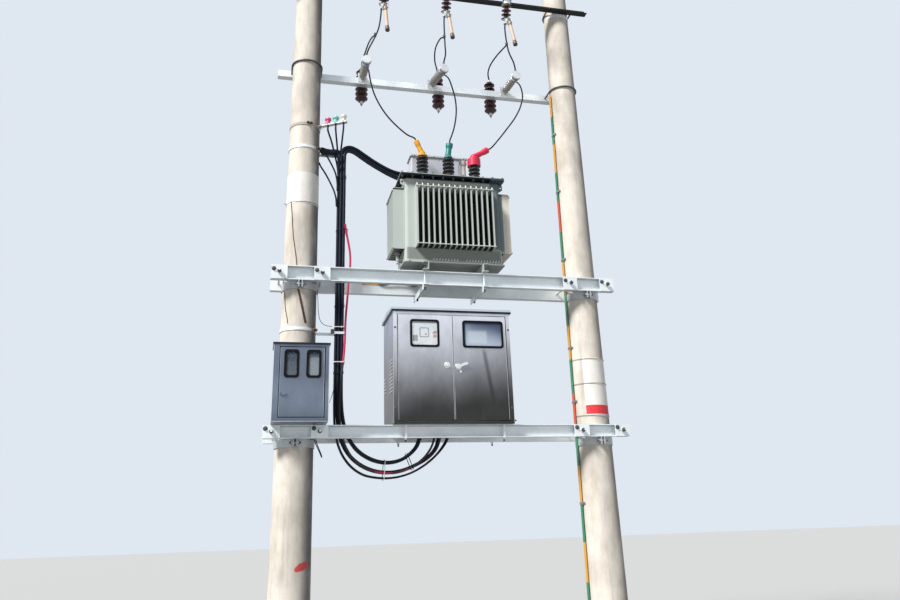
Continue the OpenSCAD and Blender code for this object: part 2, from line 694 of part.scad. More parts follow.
// Oil filler, relief valve and thermometer pocket on the cover
module cover_fittings() {
  color([0.86, 0.87, 0.86]) {
    translate([tank_x + 160, 10, cover_top]) {
      cylinder(d = 46, h = 228);
      translate([0, 0, 228]) cylinder(d = 66, h = 40);
    }
    translate([tank_x - 380, -40, cover_top]) {
      cylinder(d = 40, h = 70);
      translate([0, 0, 70]) cylinder(d = 56, h = 26);
    }
    translate([tank_x + 390, 60, cover_top]) {
      cylinder(d = 60, h = 30);
      translate([0, 0, 30]) cylinder(d = 42, h = 60);
    }
  }
}

// Sheet box without a front: floor, top, back and sides, each a panel of its own
module panel_box(x, y, z, w, d, h) {
  inner_h = h - 2 * (sheet_t + seat_gap);
  for (dz = [0, h - sheet_t]) translate([x, y, z + dz]) cube([w, d, sheet_t]);
  translate([x, y + d - sheet_t, z + sheet_t + seat_gap]) cube([w, sheet_t, inner_h]);
  for (dx = [0, w - sheet_t]) translate([x + dx, y, z + sheet_t + seat_gap])
    cube([sheet_t, d - sheet_t - seat_gap, inner_h]);
}

// Low-voltage cabinet

module cabinet_body() {
  color(stainless) translate([0, cab_frame_back + seat_gap, 0])
    panel_box(cab_left, 0, cab_low, cab_w, cab_d - frame_d - seat_gap, cab_h);
}

// Bore in a rail for the pin of a leaf
module pin_bore(x, y, z) {
  translate([x, y, z]) cylinder(d = hinge_pin_d + 2 * seat_gap, h = 28, center = true);
}

// Pins at the top and the foot of a leaf
module leaf_pins(x, y, low, h) {
  for (z = [low - leaf_gap - 8, low + h - 12]) translate([x, y, z]) cylinder(d = hinge_pin_d, h = leaf_gap + 20);
}

cab_hinge_xs = [leaf_lefts[0] + hinge_in, leaf_lefts[1] + leaf_w - hinge_in];
cab_hinge_y = cab_front + hinge_in;

// Front posts and rails round the two doors
module cabinet_frame() {
  color(stainless) {
    for (x = [cab_left, cab_right - post_w]) translate([x, cab_front, cab_low]) cube([post_w, frame_d, cab_h]);
    for (z = [cab_low, cab_top - rail_h]) difference() {
      translate([cab_left + post_w + seat_gap, cab_front, z]) cube([cab_w - 2 * (post_w + seat_gap), frame_d, rail_h]);
      for (x = cab_hinge_xs) pin_bore(x, cab_hinge_y, z == cab_low ? z + rail_h : z);
    }
  }
}

// Pressed louvres on both side walls
module cabinet_louvres() {
  blade = [[0, 0], [9, 0], [9, 3], [0, 14]];
  color(stainless) for (s = [0, 1]) translate([cab_x, 0, 0]) mirror([s, 0, 0]) translate([cab_w / 2, 0, 0]) {
    for (i = [0:9]) translate([0, -0.3 * cab_d, cab_low + 258 + i * 28]) rotate([90, 0, 0])
      linear_extrude(110, center = true) polygon(blade);
    for (i = [0:4]) translate([0, 0.37 * cab_d, cab_low + 298 + i * 28]) rotate([90, 0, 0])
      linear_extrude(90, center = true) polygon(blade);
  }
}

module cabinet_roof() {
  over = 14;
  color(stainless) translate([cab_x, 0, cab_top]) {
    translate([-cab_w / 2 - over, cab_front - over, 0]) cube([cab_w + 2 * over, cab_d + 2 * over, cab_roof_h]);
    translate([0, 0, cab_roof_h]) rotate([90, 0, 90]) linear_extrude(cab_w + 2 * over, center = true)
      polygon([[cab_front - over, 0], [cab_d / 2 + over, 0], [0, 22]]);
  }
}

// One leaf: a folded pan with a window cut through it and a frame round the window inside
module leaf(x, front, low, w, h, t, wins, win_z, win_w, win_h) {
  difference() {
    translate([x, front, low]) cube([w, t, h]);
    translate([x + sheet_t, front + sheet_t, low + sheet_t]) cube([w - 2 * sheet_t, t, h - 2 * sheet_t]);
    for (wx = wins) translate([wx, front - 1, win_z]) cube([win_w, t, win_h]);
  }
  for (wx = wins) difference() {
    translate([wx - 14, front + sheet_t, win_z - 14]) cube([win_w + 28, 7, win_h + 28]);
    translate([wx, front, win_z]) cube([win_w, 20, win_h]);
  }
}

module cabinet_leaf(i) {
  leaf(leaf_lefts[i], cab_front, leaf_low, leaf_w, leaf_h, door_t, [window_xs[i]], window_z, window_ws[i], window_h);
  leaf_pins(cab_hinge_xs[i], cab_hinge_y, leaf_low, leaf_h);
}

// Rubber strip with round corners round a pane
module gasket(x, y, z, w, h) {
  translate([x + w / 2, y, z + h / 2]) rotate([90, 0, 0]) linear_extrude(gasket_t) difference() {
    rounded_rect(w + gasket_w, h + gasket_w, 24);
    rounded_rect(w - gasket_w, h - gasket_w, 16);
  }
}

module cabinet_door_left() {
  color(stainless) {
    cabinet_leaf(0);
    translate([knob_x, cab_front + 1, handle_z + 12]) rotate([90, 0, 0]) cylinder(d = 34, h = 16);
  }
}

module cabinet_door_right() {
  color(stainless) difference() {
    cabinet_leaf(1);
    rod_y(handle_x, handle_z, cab_front - 1, cab_front + door_t, spindle_d + 2 * seat_gap);
  }
}

module cabinet_pane(i) {
  x = window_xs[i];
  w = window_ws[i];
  color(pane_grey, 0.45) translate([x, cab_front + 2, window_z]) cube([w, pane_t, window_h]);
  color(black) gasket(x, cab_front, window_z, w, window_h);
}

// Lever handle that turns on a spindle through the right leaf
module cabinet_handle() {
  color([0.82, 0.82, 0.84]) translate([handle_x, cab_front, handle_z]) {
    rotate([90, 0, 0]) translate([0, 0, -door_t - 6]) cylinder(d = spindle_d, h = door_t + 10);
    rotate([90, 0, 0]) translate([0, 0, seat_gap]) cylinder(d = 34, h = 18);
    rotate([90, -20, 0]) translate([0, 0, 12]) linear_extrude(11) {
      translate([-18, -11]) square([88, 22]);
      translate([70, 0]) circle(d = 22);
      translate([-18, 0]) circle(d = 22);
    }
    translate([0, door_t + 6, 0]) rotate([90, 0, 0]) linear_extrude(5) translate([-12, -50]) square([24, 62]);
  }
}

module cabinet_mounting_plate() {
  color(zinc) translate([cab_left + sheet_t, plate_y, cab_low + 60]) cube([cab_w - 2 * sheet_t, plate_t, cab_h - 120]);
}

// Meter on its board behind the left window, switches and breakers on the plate
module cabinet_instruments() {
  board_w = leaf_w * 0.734;
  board_h = 300;
  board_x = window_xs[0] - leaf_w * 0.12;
  board_z = window_z - 60;
  color([0.90, 0.90, 0.88]) {
    translate([board_x, board_y, board_z]) cube([board_w, 3, board_h]);
    for (dx = [30, board_w - 30], dz = [30, board_h - 30])
      rod_y(board_x + dx, board_z + dz, board_y + 2, plate_y, 16);
    translate([board_x + board_w * 0.26, board_y - 90, board_z + 85]) cube([board_w * 0.45, 91, 170]);
    translate([leaf_lefts[1] + leaf_w * 0.16, plate_y - 130, cab_low + 430]) cube([leaf_w * 0.58, 130, 300]);
    for (i = [0:3]) translate([cab_left + cab_w * (0.13 + i * 0.19), plate_y - 90, cab_low + 130])
      cube([110, 90, 180]);
  }
}

// Straps over the faces of the beams that hold the cabinet down, each bolted through a flange
module cabinet_hold_downs() {
  strap_t = 5;
  strap_y = c_web_y + c_beam_b + seat_gap;
  color(zinc) for (x = cab_strap_xs, side = [0, 1]) mirror([0, side, 0]) {
    translate([x - 9, -strap_y - strap_t, c_beam_low - strap_t]) cube([18, strap_t, c_beam_h + strap_t]);
    translate([x - 9, -strap_y - strap_t, c_beam_low - strap_t])
      cube([18, strap_y + strap_t - cab_strap_y + 16, strap_t]);
    translate([x, -cab_strap_y, c_beam_low - 34]) {
      cylinder(d = cab_stud_d, h = 60);
      translate([0, 0, 34 - strap_t - 10]) hex_nut(cab_stud_d, 10);
    }
  }
}

// Meter box

module meter_box_body() {
  body_y = box_frame_back + seat_gap;
  color(stainless) {
    panel_box(box_left, body_y, box_low, box_w, box_back - body_y, box_h - box_roof_t - seat_gap);
    translate([box_left - 8, box_front - 8, box_top - box_roof_t]) cube([box_w + 16, box_d + 8, box_roof_t]);
    // Saddles between the box and the pole behind it
    for (z = [60, 470]) translate([0, box_back + seat_gap, box_low + z]) difference() {
      translate([-45, 0, 0]) cube([90, 24, 40]);
      translate([0, -box_back - seat_gap, -1]) cylinder(r = pole_r(box_low + z) + seat_gap, h = 42, $fn = 64);
    }
  }
}

box_hinge_x = box_leaf_left + box_leaf_w - hinge_in;
box_hinge_y = box_front + hinge_in;

module meter_box_frame() {
  depth = box_frame_back - box_front;
  high = box_h - box_roof_t - seat_gap;
  rail_x = box_left + box_post_w + seat_gap;
  rail_w = box_w - box_post_w - box_rail_w - 2 * seat_gap;
  color(stainless) {
    translate([box_left, box_front, box_low]) cube([box_post_w, depth, high]);
    translate([box_right - box_rail_w, box_front, box_low]) cube([box_rail_w, depth, high]);
    difference() {
      translate([rail_x, box_front, box_low]) cube([rail_w, depth, box_rail_w]);
      pin_bore(box_hinge_x, box_hinge_y, box_low + box_rail_w);
    }
    difference() {
      translate([rail_x, box_front, box_leaf_low + box_leaf_h + leaf_gap]) cube([rail_w, depth, 16 - seat_gap]);
      pin_bore(box_hinge_x, box_hinge_y, box_leaf_low + box_leaf_h + leaf_gap);
    }
  }
}

module meter_box_door() {
  color(stainless) {
    leaf(box_leaf_left, box_front, box_leaf_low, box_leaf_w, box_leaf_h, box_door_t,
      box_window_xs, box_window_z, box_window_w, box_window_h);
    leaf_pins(box_hinge_x, box_hinge_y, box_leaf_low, box_leaf_h);
  }
  color([0.80, 0.80, 0.82]) translate([box_leaf_left + 28, box_front + 1, box_low + 204]) rotate([90, 0, 0])
    linear_extrude(15) rounded_rect(50, 22, 10);
}

module meter_box_panes() {
  for (x = box_window_xs) {
    color(pane_grey, 0.45) translate([x, box_front + 2, box_window_z]) cube([box_window_w, pane_t, box_window_h]);
    color(black) gasket(x, box_front, box_window_z, box_window_w, box_window_h);
  }
}

module meter_box_meters() {
  depth = box_back - sheet_t - box_meter_front;
  color([0.88, 0.88, 0.86]) for (x = box_window_xs)
    translate([x + box_window_w * 0.06, box_meter_front, box_window_z + 8])
      cube([box_window_w * 0.88, depth, box_window_h - 16]);
}

// Crossarms

// U-bolt round a pole, its bow on the side of -Y and its ends through a leg at y = arm_y
module u_bolt(x, z, arm_y) {
  r = pole_r(z - u_bolt_d / 2) + seat_gap + u_bolt_d / 2;
  leg = arm_y + arm_t + 28;
  translate([x, 0, z]) {
    rotate([0, 0, 180]) rotate_extrude(angle = 180, $fn = 64) translate([r, 0]) circle(d = u_bolt_d, $fn = 24);
    for (s = [-1, 1]) {
      translate([s * r, 0, 0]) rotate([-90, 0, 0]) cylinder(d = u_bolt_d, h = leg, $fn = 24);
      translate([s * r, arm_y + arm_t, 0]) rotate([-90, 0, 0]) hex_nut(u_bolt_d, 13);
    }
  }
}

module crossarm_u_bolts() {
  color(zinc) for (x = pole_xs) {
    u_bolt(x, a_bolt_z, a_arm_y);
    translate([x, 0, 0]) mirror([0, 1, 0]) u_bolt(0, f_bolt_z, f_arm_y);
    translate([x, 0, 0]) mirror([0, 1, 0]) u_bolt(0, l_bolt_z, l_arm_y);
  }
}

// Holes in the upright leg of a crossarm for the ends of the U-bolts
module u_bolt_holes(z) {
  r = pole_r(z - u_bolt_d / 2) + seat_gap + u_bolt_d / 2;
  for (x = pole_xs, s = [-1, 1]) rod_y(x + s * r, z, -300, 300, u_bolt_d + 2 * rod_play);
}

module arrester_crossarm() {
  color([0.86, 0.88, 0.90]) difference() {
    mirror([0, 1, 0]) translate([-arm_past_left, -a_arm_y, a_arm_top - arm_leg])
      angle_bar(pole_spacing + arm_past_left + a_arm_past_right, arm_leg, arm_t);
    u_bolt_holes(a_bolt_z);
  }
}

module fuse_crossarm() {
  color([0.45, 0.47, 0.50]) difference() {
    translate([-arm_past_left, -f_arm_y, f_arm_low])
      angle_bar(pole_spacing + arm_past_left + arm_past_right, arm_leg, arm_t);
    u_bolt_holes(f_bolt_z);
  }
}

module line_crossarm() {
  color(zinc) difference() {
    translate([-arm_past_left, -l_arm_y, l_arm_top - arm_leg])
      angle_bar(pole_spacing + arm_past_left + arm_past_right, arm_leg, arm_t);
    u_bolt_holes(l_bolt_z);
  }
}

// Surge arresters behind the crossarm, each held by a band at its middle
module arresters() {
  arm_back = a_arm_y + arm_t;
  for (x = arrester_xs) translate([x, arrester_y, arrester_z]) {
    color(shed_red) translate([0, 0, 22]) sheds(arrester_h / 2 - 22, 58, arrester_d - 14, 3);
    color(shed_red) mirror([0, 0, 1]) translate([0, 0, 22]) sheds(arrester_h / 2 - 22, 62, arrester_d, 3);
    color(zinc) {
      translate([0, 0, -22]) cylinder(d = 78, h = 44);
      translate([-22, arm_back - arrester_y, -14]) cube([44, arrester_y - arm_back - 30, 6]);
      translate([-22, arm_back - arrester_y, -30]) cube([44, 6, 36]);
      translate([0, 0, arrester_h / 2]) cylinder(d = 26, h = 26);
      translate([0, 0, -arrester_h / 2 - 26]) cylinder(d = 30, h = 26);
    }
  }
}

// Post insulators that reach forward and up from the crossarm, each on a plate
module post_insulators() {
  for (i = [0:2]) {
    color(zinc) translate([post_xs[i] - 42, a_arm_y - 6 - seat_gap, post_z - 48]) cube([84, 6, 94]);
    translate(post_point(i, 0, [0, 0, 0])) rotate([0, 0, post_swings[i]]) rotate([90 - post_tilt, 0, 0]) {
      color(zinc) translate([0, 0, -2]) cylinder(d = 24, h = 20);
      color(porcelain) translate([0, 0, 12]) cylinder(d = 62, h = 30);
      color(porcelain) translate([0, 0, 40]) sheds(post_l - 80, 46, 76, 6);
      color([0.88, 0.89, 0.90]) translate([0, 0, post_l - 42]) cylinder(d = post_cap_d, h = 42);
    }
  }
}

// Insulator, contacts and bracket of one drop-out fuse.
// In the frame of a fuse the hinge of its tube is the origin and +Z runs to the upper contact.
module fuse_base(x) {
  leg_y = -f_arm_y - arm_leg;
  band = fuse_point(0, [0, fuse_offset, fuse_band]);
  under = f_arm_low - seat_gap;
  translate([x, fuse_hinge_y, fuse_hinge_z]) rotate([fuse_lean, 0, 0]) translate([0, fuse_offset, 0]) {
    color(shed_red) {
      translate([0, 0, 40]) sheds(fuse_band - 57, 44, 96, 4);
      translate([0, 0, fuse_band + 17]) sheds(fuse_tube_l - fuse_band - 67, 44, 96, 3);
    }
    color(zinc) {
      translate([0, 0, fuse_band - 17]) cylinder(d = 66, h = 34);
      translate([0, 0, 8]) cylinder(d = fuse_post_d, h = 40);
      translate([0, 0, fuse_tube_l - 56]) cylinder(d = fuse_post_d, h = 46);
      // Lower contact with the two ears of the hinge and the terminal of the lead
      rotate([90, 0, 90]) linear_extrude(56, center = true)
        polygon([[-fuse_offset + 26, 20], [0, 20], [0, 30], [-fuse_offset + 20, 30]]);
      difference() {
        for (s = [-1, 1]) rotate([90, 0, 90]) translate([0, 0, s * 24]) linear_extrude(8, center = true)
          polygon([[-fuse_offset - 11, -8], [-fuse_offset - 4, -13], [-fuse_offset + 12, -13],
            [-fuse_offset + 34, 20], [-fuse_offset + 34, 30], [-fuse_offset + 14, 30], [-fuse_offset - 11, 10]]);
        translate([0, -fuse_offset, 0]) rotate([0, 90, 0]) cylinder(d = 10 + 2 * seat_gap, h = 70, center = true);
      }
      translate([-42, -fuse_offset + 10, -16]) cube([16, 30, 46]);
      // Upper contact: an arm that bends over the end of the closed tube
      rotate([90, 0, 90]) linear_extrude(38, center = true)
        polygon([[0, fuse_tube_l - 40], [10, fuse_tube_l - 10], [0, fuse_tube_l + 18],
          [-fuse_offset - 34, fuse_tube_l + 18], [-fuse_offset - 40, fuse_tube_l + 28],
          [-fuse_offset - 46, fuse_tube_l + 26], [-fuse_offset - 38, fuse_tube_l + 11],
          [-8, fuse_tube_l + 11], [-12, fuse_tube_l - 40]]);
      translate([0, -fuse_offset, fuse_tube_l + 4]) cylinder(d = 24, h = 8);
    }
  }
  // Strap from the level leg of the crossarm down to the band
  color(zinc) translate([x, 0, 0]) rotate([90, 0, 90]) linear_extrude(40, center = true)
    polygon([[-f_arm_y - 8, under], [leg_y - 8, under], [band.y + 22, band.z + 14], [band.y + 22, band.z + 4],
      [leg_y - 4, under - 7], [-f_arm_y - 8, under - 7]]);
}

module fuse_bases() {
  for (x = fuse_xs) fuse_base(x);
}

// Fuse tube that has dropped open: it hangs from its hinge pin
module fuse_tube(x) {
  translate([x, fuse_hinge_y, fuse_hinge_z]) rotate([180 - fuse_lean, 0, 0]) {
    color([0.76, 0.66, 0.50]) translate([0, 0, 28]) cylinder(d = fuse_tube_d, h = fuse_tube_l - 60);
    color([0.55, 0.50, 0.42]) {
      rotate([0, 90, 0]) cylinder(d = 10, h = 60, center = true);
      rotate([0, 90, 0]) cylinder(d = 20, h = 30, center = true);
      translate([-12, -10, 0]) cube([24, 20, 24]);
      translate([0, 0, 16]) cylinder(d = fuse_tube_d + 3, h = 34);
    }
    color(black) {
      translate([0, 0, fuse_tube_l - 44]) cylinder(d = fuse_tube_d + 8, h = 38);
      translate([0, -fuse_tube_d / 2 - 16, fuse_tube_l - 58]) rotate([0, 90, 0]) rotate_extrude($fn = 32)
        translate([15, 0]) circle(d = 6, $fn = 16);
    }
  }
}

module line_insulators() {
  for (x = line_xs) translate([x, -l_arm_y - arm_leg / 2, l_arm_top - arm_leg + arm_t]) {
    color(zinc) cylinder(d = 24, h = 80);
    color(porcelain) translate([0, 0, 80]) sheds(190, 60, 130, 4);
    color(porcelain) translate([0, 0, 270]) cylinder(d = 70, h = 30);
  }
}

// Low-voltage bracket: a band on the left pole with a flat arm for the spool insulators
module lv_bracket() {
  r0 = pole_r(lv_arm_z - 16) + seat_gap;
  color(zinc) {
    pole_band(lv_arm_z - 16, 24, 5);
    rotate([0, 0, lv_arm_turn]) {
      difference() {
        translate([r0 + 1, -lv_arm_w / 2, lv_arm_z]) cube([lv_spool_rs[2] + 30 - r0, lv_arm_w, lv_arm_t]);
        translate([0, 0, lv_arm_z - 50]) cylinder(r = r0 + 0.5, h = 100, $fn = 64);
      }
      translate([0, 0, lv_arm_z - 36]) rotate([90, 0, 0]) linear_extrude(6, center = true)
        polygon([[r0 + 3, 0], [r0 + 12, 0], [r0 + 72, 36], [r0 + 3, 36]]);
    }
  }
}

module lv_insulators() {
  for (r = lv_spool_rs) translate(lv_point(r, lv_arm_z + lv_arm_t + seat_gap)) {
    color([0.92, 0.90, 0.90]) rotate_extrude() polygon([[0, 0], [27, 0], [27, 16], [17, 24], [17, 38], [27, 46],
      [27, 62], [0, 62]]);
    color(zinc) translate([0, 0, 62]) cylinder(d = 14, h = 16);
    color(zinc) translate([0, 0, 62]) hex_nut(14, 9);
  }
}

// Bands on the left pole with a flat arm behind the cable bundles, the lower one with a loop round them
module cable_brackets() {
  loop_w = bundle_x + cable_pitch / 2 + supply_d / 2 - feeder_x + feeder_d / 2;
  loop_x = feeder_x - feeder_d / 2 - 1;
  loop_d = bracket_y - bundle_y + 31;
  color(zinc) for (z = bracket_zs) {
    pole_band(z, bracket_h, 5);
    translate([pole_r(z) + seat_gap - 3, bracket_y, z]) cube([bundle_x + 34 - pole_r(z), 5, bracket_h]);
  }
  color(zinc) translate([0, 0, bracket_zs[1] + 2]) linear_extrude(20) difference() {
    translate([loop_x - 3, bracket_y - loop_d - 3]) square([loop_w + 8, loop_d + 4]);
    translate([loop_x, bracket_y - loop_d]) square([loop_w + 2, loop_d]);
  }
}

// Flat earth strip down the inner side of the right pole, over the hoops
module earth_strip() {
  top_z = a_arm_top - 80;
  off = hoop_t + 3 * seat_gap;
  color([0.35, 0.62, 0.35]) translate([pole_spacing, -10, 0]) rotate([90, 0, 0]) linear_extrude(40, center = true)
    polygon([[-pole_r(0) - off - 4, 0], [-pole_r(0) - off, 0], [-pole_r(top_z) - off, top_z],
      [-pole_r(top_z) - off - 4, top_z]]);
}

// Cables

module cable_glands() {
  color(black) translate([0, 0, cab_low - cab_gland_l]) {
    for (sx = [-1, 1], sy = [-1, 1])
      translate([cab_gland_x + sx * cab_gland_spread, 10 + sy * cab_gland_pitch / 2, 0])
        cylinder(d = supply_d + 12, h = cab_gland_l);
    for (u = [-1, 0, 1]) translate([feeder_gland_x, 5 + u * feeder_gland_pitch, 0])
      cylinder(d = feeder_d + 10, h = cab_gland_l);
  }
}

module hv_leads() {
  color(black) {
    for (p = [left_drop, middle_drop, right_drop, left_tail, middle_tail, right_tail]) swept_tube(p, hv_d);
    for (p = [left_spur, middle_spur, right_spur]) swept_tube(p, hv_d);
  }
}

module supply_cables() {
  color(black) for (u = [-1, 1], v = [-1, 1]) swept_tube(strand(supply_route, u, v), supply_d);
}

module feeder_cables() {
  last = len(feeder_route) - 1;
  color(black) for (k = [0:2]) {
    start = lv_point(lv_spool_rs[k], lv_arm_z - seat_gap);
    run = [for (i = [0:last]) feeder_route[i] + [0, (1 - k) * (i > last - 4 ? feeder_gland_pitch : feeder_pitch), 0]];
    swept_tube(concat([start, start - [0, 0, 45]], feeder_starts[k], run), feeder_d);
  }
}

pole(0);  // left_pole
pole(pole_spacing);  // right_pole
transformer_beams();
cabinet_beams();
beam_clamps();
beam_hoops();
transformer_feet();
transformer_hold_downs();
transformer_tank();
transformer_cover();
cooling_fins();
hv_bushings();
yellow_boot();
green_boot();
red_boot();
lv_terminal_box();
cover_fittings();
cabinet_body();
cabinet_frame();
cabinet_louvres();
cabinet_roof();
cabinet_door_left();
cabinet_door_right();
cabinet_pane(0);  // cabinet_pane_left
cabinet_pane(1);  // cabinet_pane_right
cabinet_handle();
cabinet_mounting_plate();
cabinet_instruments();
cabinet_hold_downs();
meter_box_body();
meter_box_frame();
meter_box_door();
meter_box_panes();
meter_box_meters();
arrester_crossarm();
arresters();
post_insulators();
fuse_crossarm();
crossarm_u_bolts();
fuse_bases();
fuse_tube(fuse_xs[0]);  // fuse_tube_left
fuse_tube(fuse_xs[1]);  // fuse_tube_middle
fuse_tube(fuse_xs[2]);  // fuse_tube_right
line_crossarm();
line_insulators();
lv_bracket();
lv_insulators();
cable_brackets();
earth_strip();
cable_glands();
hv_leads();
supply_cables();
feeder_cables();
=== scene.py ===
import json
import math

import bmesh
import bpy
from mathutils import Matrix, Vector

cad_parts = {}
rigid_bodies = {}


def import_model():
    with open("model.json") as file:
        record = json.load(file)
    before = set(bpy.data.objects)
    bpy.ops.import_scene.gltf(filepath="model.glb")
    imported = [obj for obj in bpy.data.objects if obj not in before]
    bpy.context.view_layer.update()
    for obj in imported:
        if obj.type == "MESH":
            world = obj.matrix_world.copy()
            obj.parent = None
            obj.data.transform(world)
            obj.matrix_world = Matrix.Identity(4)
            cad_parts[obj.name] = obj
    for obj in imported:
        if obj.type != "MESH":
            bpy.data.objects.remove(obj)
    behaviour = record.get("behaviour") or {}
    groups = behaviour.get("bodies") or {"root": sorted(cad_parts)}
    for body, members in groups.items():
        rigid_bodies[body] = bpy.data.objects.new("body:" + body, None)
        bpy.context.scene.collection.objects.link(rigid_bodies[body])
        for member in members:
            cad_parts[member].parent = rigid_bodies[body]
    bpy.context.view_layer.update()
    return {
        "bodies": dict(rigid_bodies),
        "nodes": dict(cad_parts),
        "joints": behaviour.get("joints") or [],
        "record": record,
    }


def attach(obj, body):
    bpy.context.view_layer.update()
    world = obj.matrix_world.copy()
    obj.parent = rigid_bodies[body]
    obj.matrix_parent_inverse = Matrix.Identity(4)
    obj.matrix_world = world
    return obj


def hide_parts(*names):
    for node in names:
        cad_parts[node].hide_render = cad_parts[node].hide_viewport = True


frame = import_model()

scene = bpy.context.scene
scene.view_settings.view_transform = "Standard"
nodes = frame["nodes"]
mm = 0.001


# Camera: it stands where the photograph was taken, 6.2 m in front of the station, and looks up at it; the
# middle of its picture is shifted
cameraPlace = {"spot": (-0.2246, -6.2150, 1.369), "yaw": 0.23996, "pitch": 0.33486, "roll": -0.03313,
               "lens": 30.662, "shift": -0.0469, "sensor": 36, "far": 500}


def placeCamera(c):
    cy, sy = math.cos(c["yaw"]), math.sin(c["yaw"])
    cp, sp = math.cos(c["pitch"]), math.sin(c["pitch"])
    forward = Vector((sy * cp, cy * cp, sp))
    level = Vector((cy, -sy, 0))
    right = math.cos(c["roll"]) * level + math.sin(c["roll"]) * level.cross(forward)
    up = right.cross(forward)
    camera = bpy.data.objects.new("camera", bpy.data.cameras.new("camera"))
    scene.collection.objects.link(camera)
    turn = Matrix((right, up, -forward)).transposed()
    camera.matrix_world = Matrix.Translation(c["spot"]) @ turn.to_4x4()
    camera.data.sensor_width = c["sensor"]
    camera.data.lens = c["lens"]
    camera.data.shift_y = c["shift"]
    camera.data.clip_end = c["far"]
    scene.camera = camera


placeCamera(cameraPlace)


# Cords: routes in millimetres, the same points as the solids of the part
hvCord = {"diameter": 14, "stiffness": "stiff", "lay": "hanging"}
supplyCord = {"diameter": 28, "stiffness": "stiff", "lay": "hanging"}
feederCord = {"diameter": 16, "stiffness": "medium", "lay": "hanging"}
leadCord = {"diameter": 18, "stiffness": "medium", "lay": "hanging"}
thinCord = {"diameter": 15, "stiffness": "medium", "lay": "hanging"}
tailCord = {"diameter": 7, "stiffness": "medium", "lay": "hanging"}
wireCord = {"diameter": 5, "stiffness": "medium", "lay": "hanging"}


def smoothPath(points, steps=6):
    # Catmull-Rom curve through the points, with centripetal spacing
    p = [Vector(q) * mm for q in points]
    p = [2 * p[0] - p[1]] + p + [2 * p[-1] - p[-2]]
    line = []
    for i in range(1, len(p) - 2):
        a, b, c, d = p[i - 1:i + 3]
        ta = (b - a).length ** 0.5
        tb = (c - b).length ** 0.5
        tc = (d - c).length ** 0.5
        m1 = (c - b) + tb * ((b - a) / ta - (c - a) / (ta + tb))
        m2 = (c - b) + tb * ((d - c) / tc - (d - b) / (tb + tc))
        for k in range(steps):
            t = k / steps
            line.append((2 * t ** 3 - 3 * t ** 2 + 1) * b + (t ** 3 - 2 * t ** 2 + t) * m1
                        + (3 * t ** 2 - 2 * t ** 3) * c + (t ** 3 - t ** 2) * m2)
    line.append(p[-2])
    return line


def makeCord(name, points, kind, node=None, steps=6):
    line = smoothPath(points, steps)
    curve = bpy.data.curves.new(name, "CURVE")
    curve.dimensions = "3D"
    curve.bevel_depth = kind["diameter"] * mm / 2
    curve.bevel_resolution = 4
    curve.use_fill_caps = True
    spline = curve.splines.new("POLY")
    spline.points.add(len(line) - 1)
    for spot, q in zip(spline.points, line):
        spot.co = (*q, 1)
    piece = bpy.data.objects.new(name, curve)
    scene.collection.objects.link(piece)
    length = sum((b - a).length for a, b in zip(line, line[1:]))
    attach(piece, "station")
    if node:
        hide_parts(node)
    return piece, length


hvRoutes = {
    "leftDrop": [(651, -255.9, 5943.2), (651, -238.8, 5896.2), (634, -222, 5760), (608, -205, 5680),
                 (572, -190, 5600), (546, -172, 5545), (532.6, -126.1, 5509.5), (532.6, -126.1, 5495.5)],
    "middleDrop": [(1256, -255.9, 5943.2), (1256, -238.8, 5896.2), (1262, -215, 5740), (1266, -205, 5650),
                   (1273, -185, 5570), (1270, -115.5, 5521.5), (1270, -115.5, 5495.5)],
    "rightDrop": [(1861, -255.9, 5943.2), (1861, -238.8, 5896.2), (1880, -215, 5740), (1900, -205, 5650),
                  (1948, -180, 5560), (1981.7, -122.5, 5521.5), (1981.7, -122.5, 5495.5)],
    "leftTail": [(532.6, -126.1, 5408.9), (532.6, -126.1, 5394.9), (548, -150, 5330), (572, -130, 5220),
                 (605, -118, 5110), (665, -108, 4990), (745, -100, 4880), (840, -90, 4790), (915, -83, 4735),
                 (982.1, -80, 4707), (990.9, -80, 4687.2)],
    "middleTail": [(1270, -115.5, 5408.9), (1270, -115.5, 5394.9), (1302, -152, 5330), (1340, -140, 5230),
                   (1366, -130, 5120), (1374, -118, 5010), (1362, -104, 4890), (1338, -90, 4790),
                   (1312, -80, 4715.5), (1307.9, -80, 4686.1)],
    "rightTail": [(1981.7, -122.5, 5408.9), (1981.7, -122.5, 5394.9), (2008, -150, 5330), (2030, -140, 5230),
                  (2004, -128, 5110), (1945, -114, 4990), (1868, -100, 4880), (1790, -88, 4775),
                  (1703.9, -80, 4670.7), (1679, -80, 4654.5)],
    "leftSpur": [(596, -202, 5678), (580, -150, 5690), (567, 20, 5735), (556, 160, 5735), (540, 235, 5700),
                 (532, 253.2, 5653), (532, 253.2, 5613.3)],
    "middleSpur": [(1255, -214, 5735), (1236, -180, 5748), (1222, -30, 5760), (1230, 80, 5755),
                   (1252, 180, 5720), (1282, 240, 5680), (1291, 253.2, 5643), (1291, 253.2, 5613.3)],
    "rightSpur": [(1874, -211, 5725), (1855, -170, 5715), (1818, -50, 5700), (1796, 80, 5684),
                  (1799, 180, 5665), (1818, 240, 5645), (1826, 253.2, 5635), (1826, 253.2, 5613.3)],
}
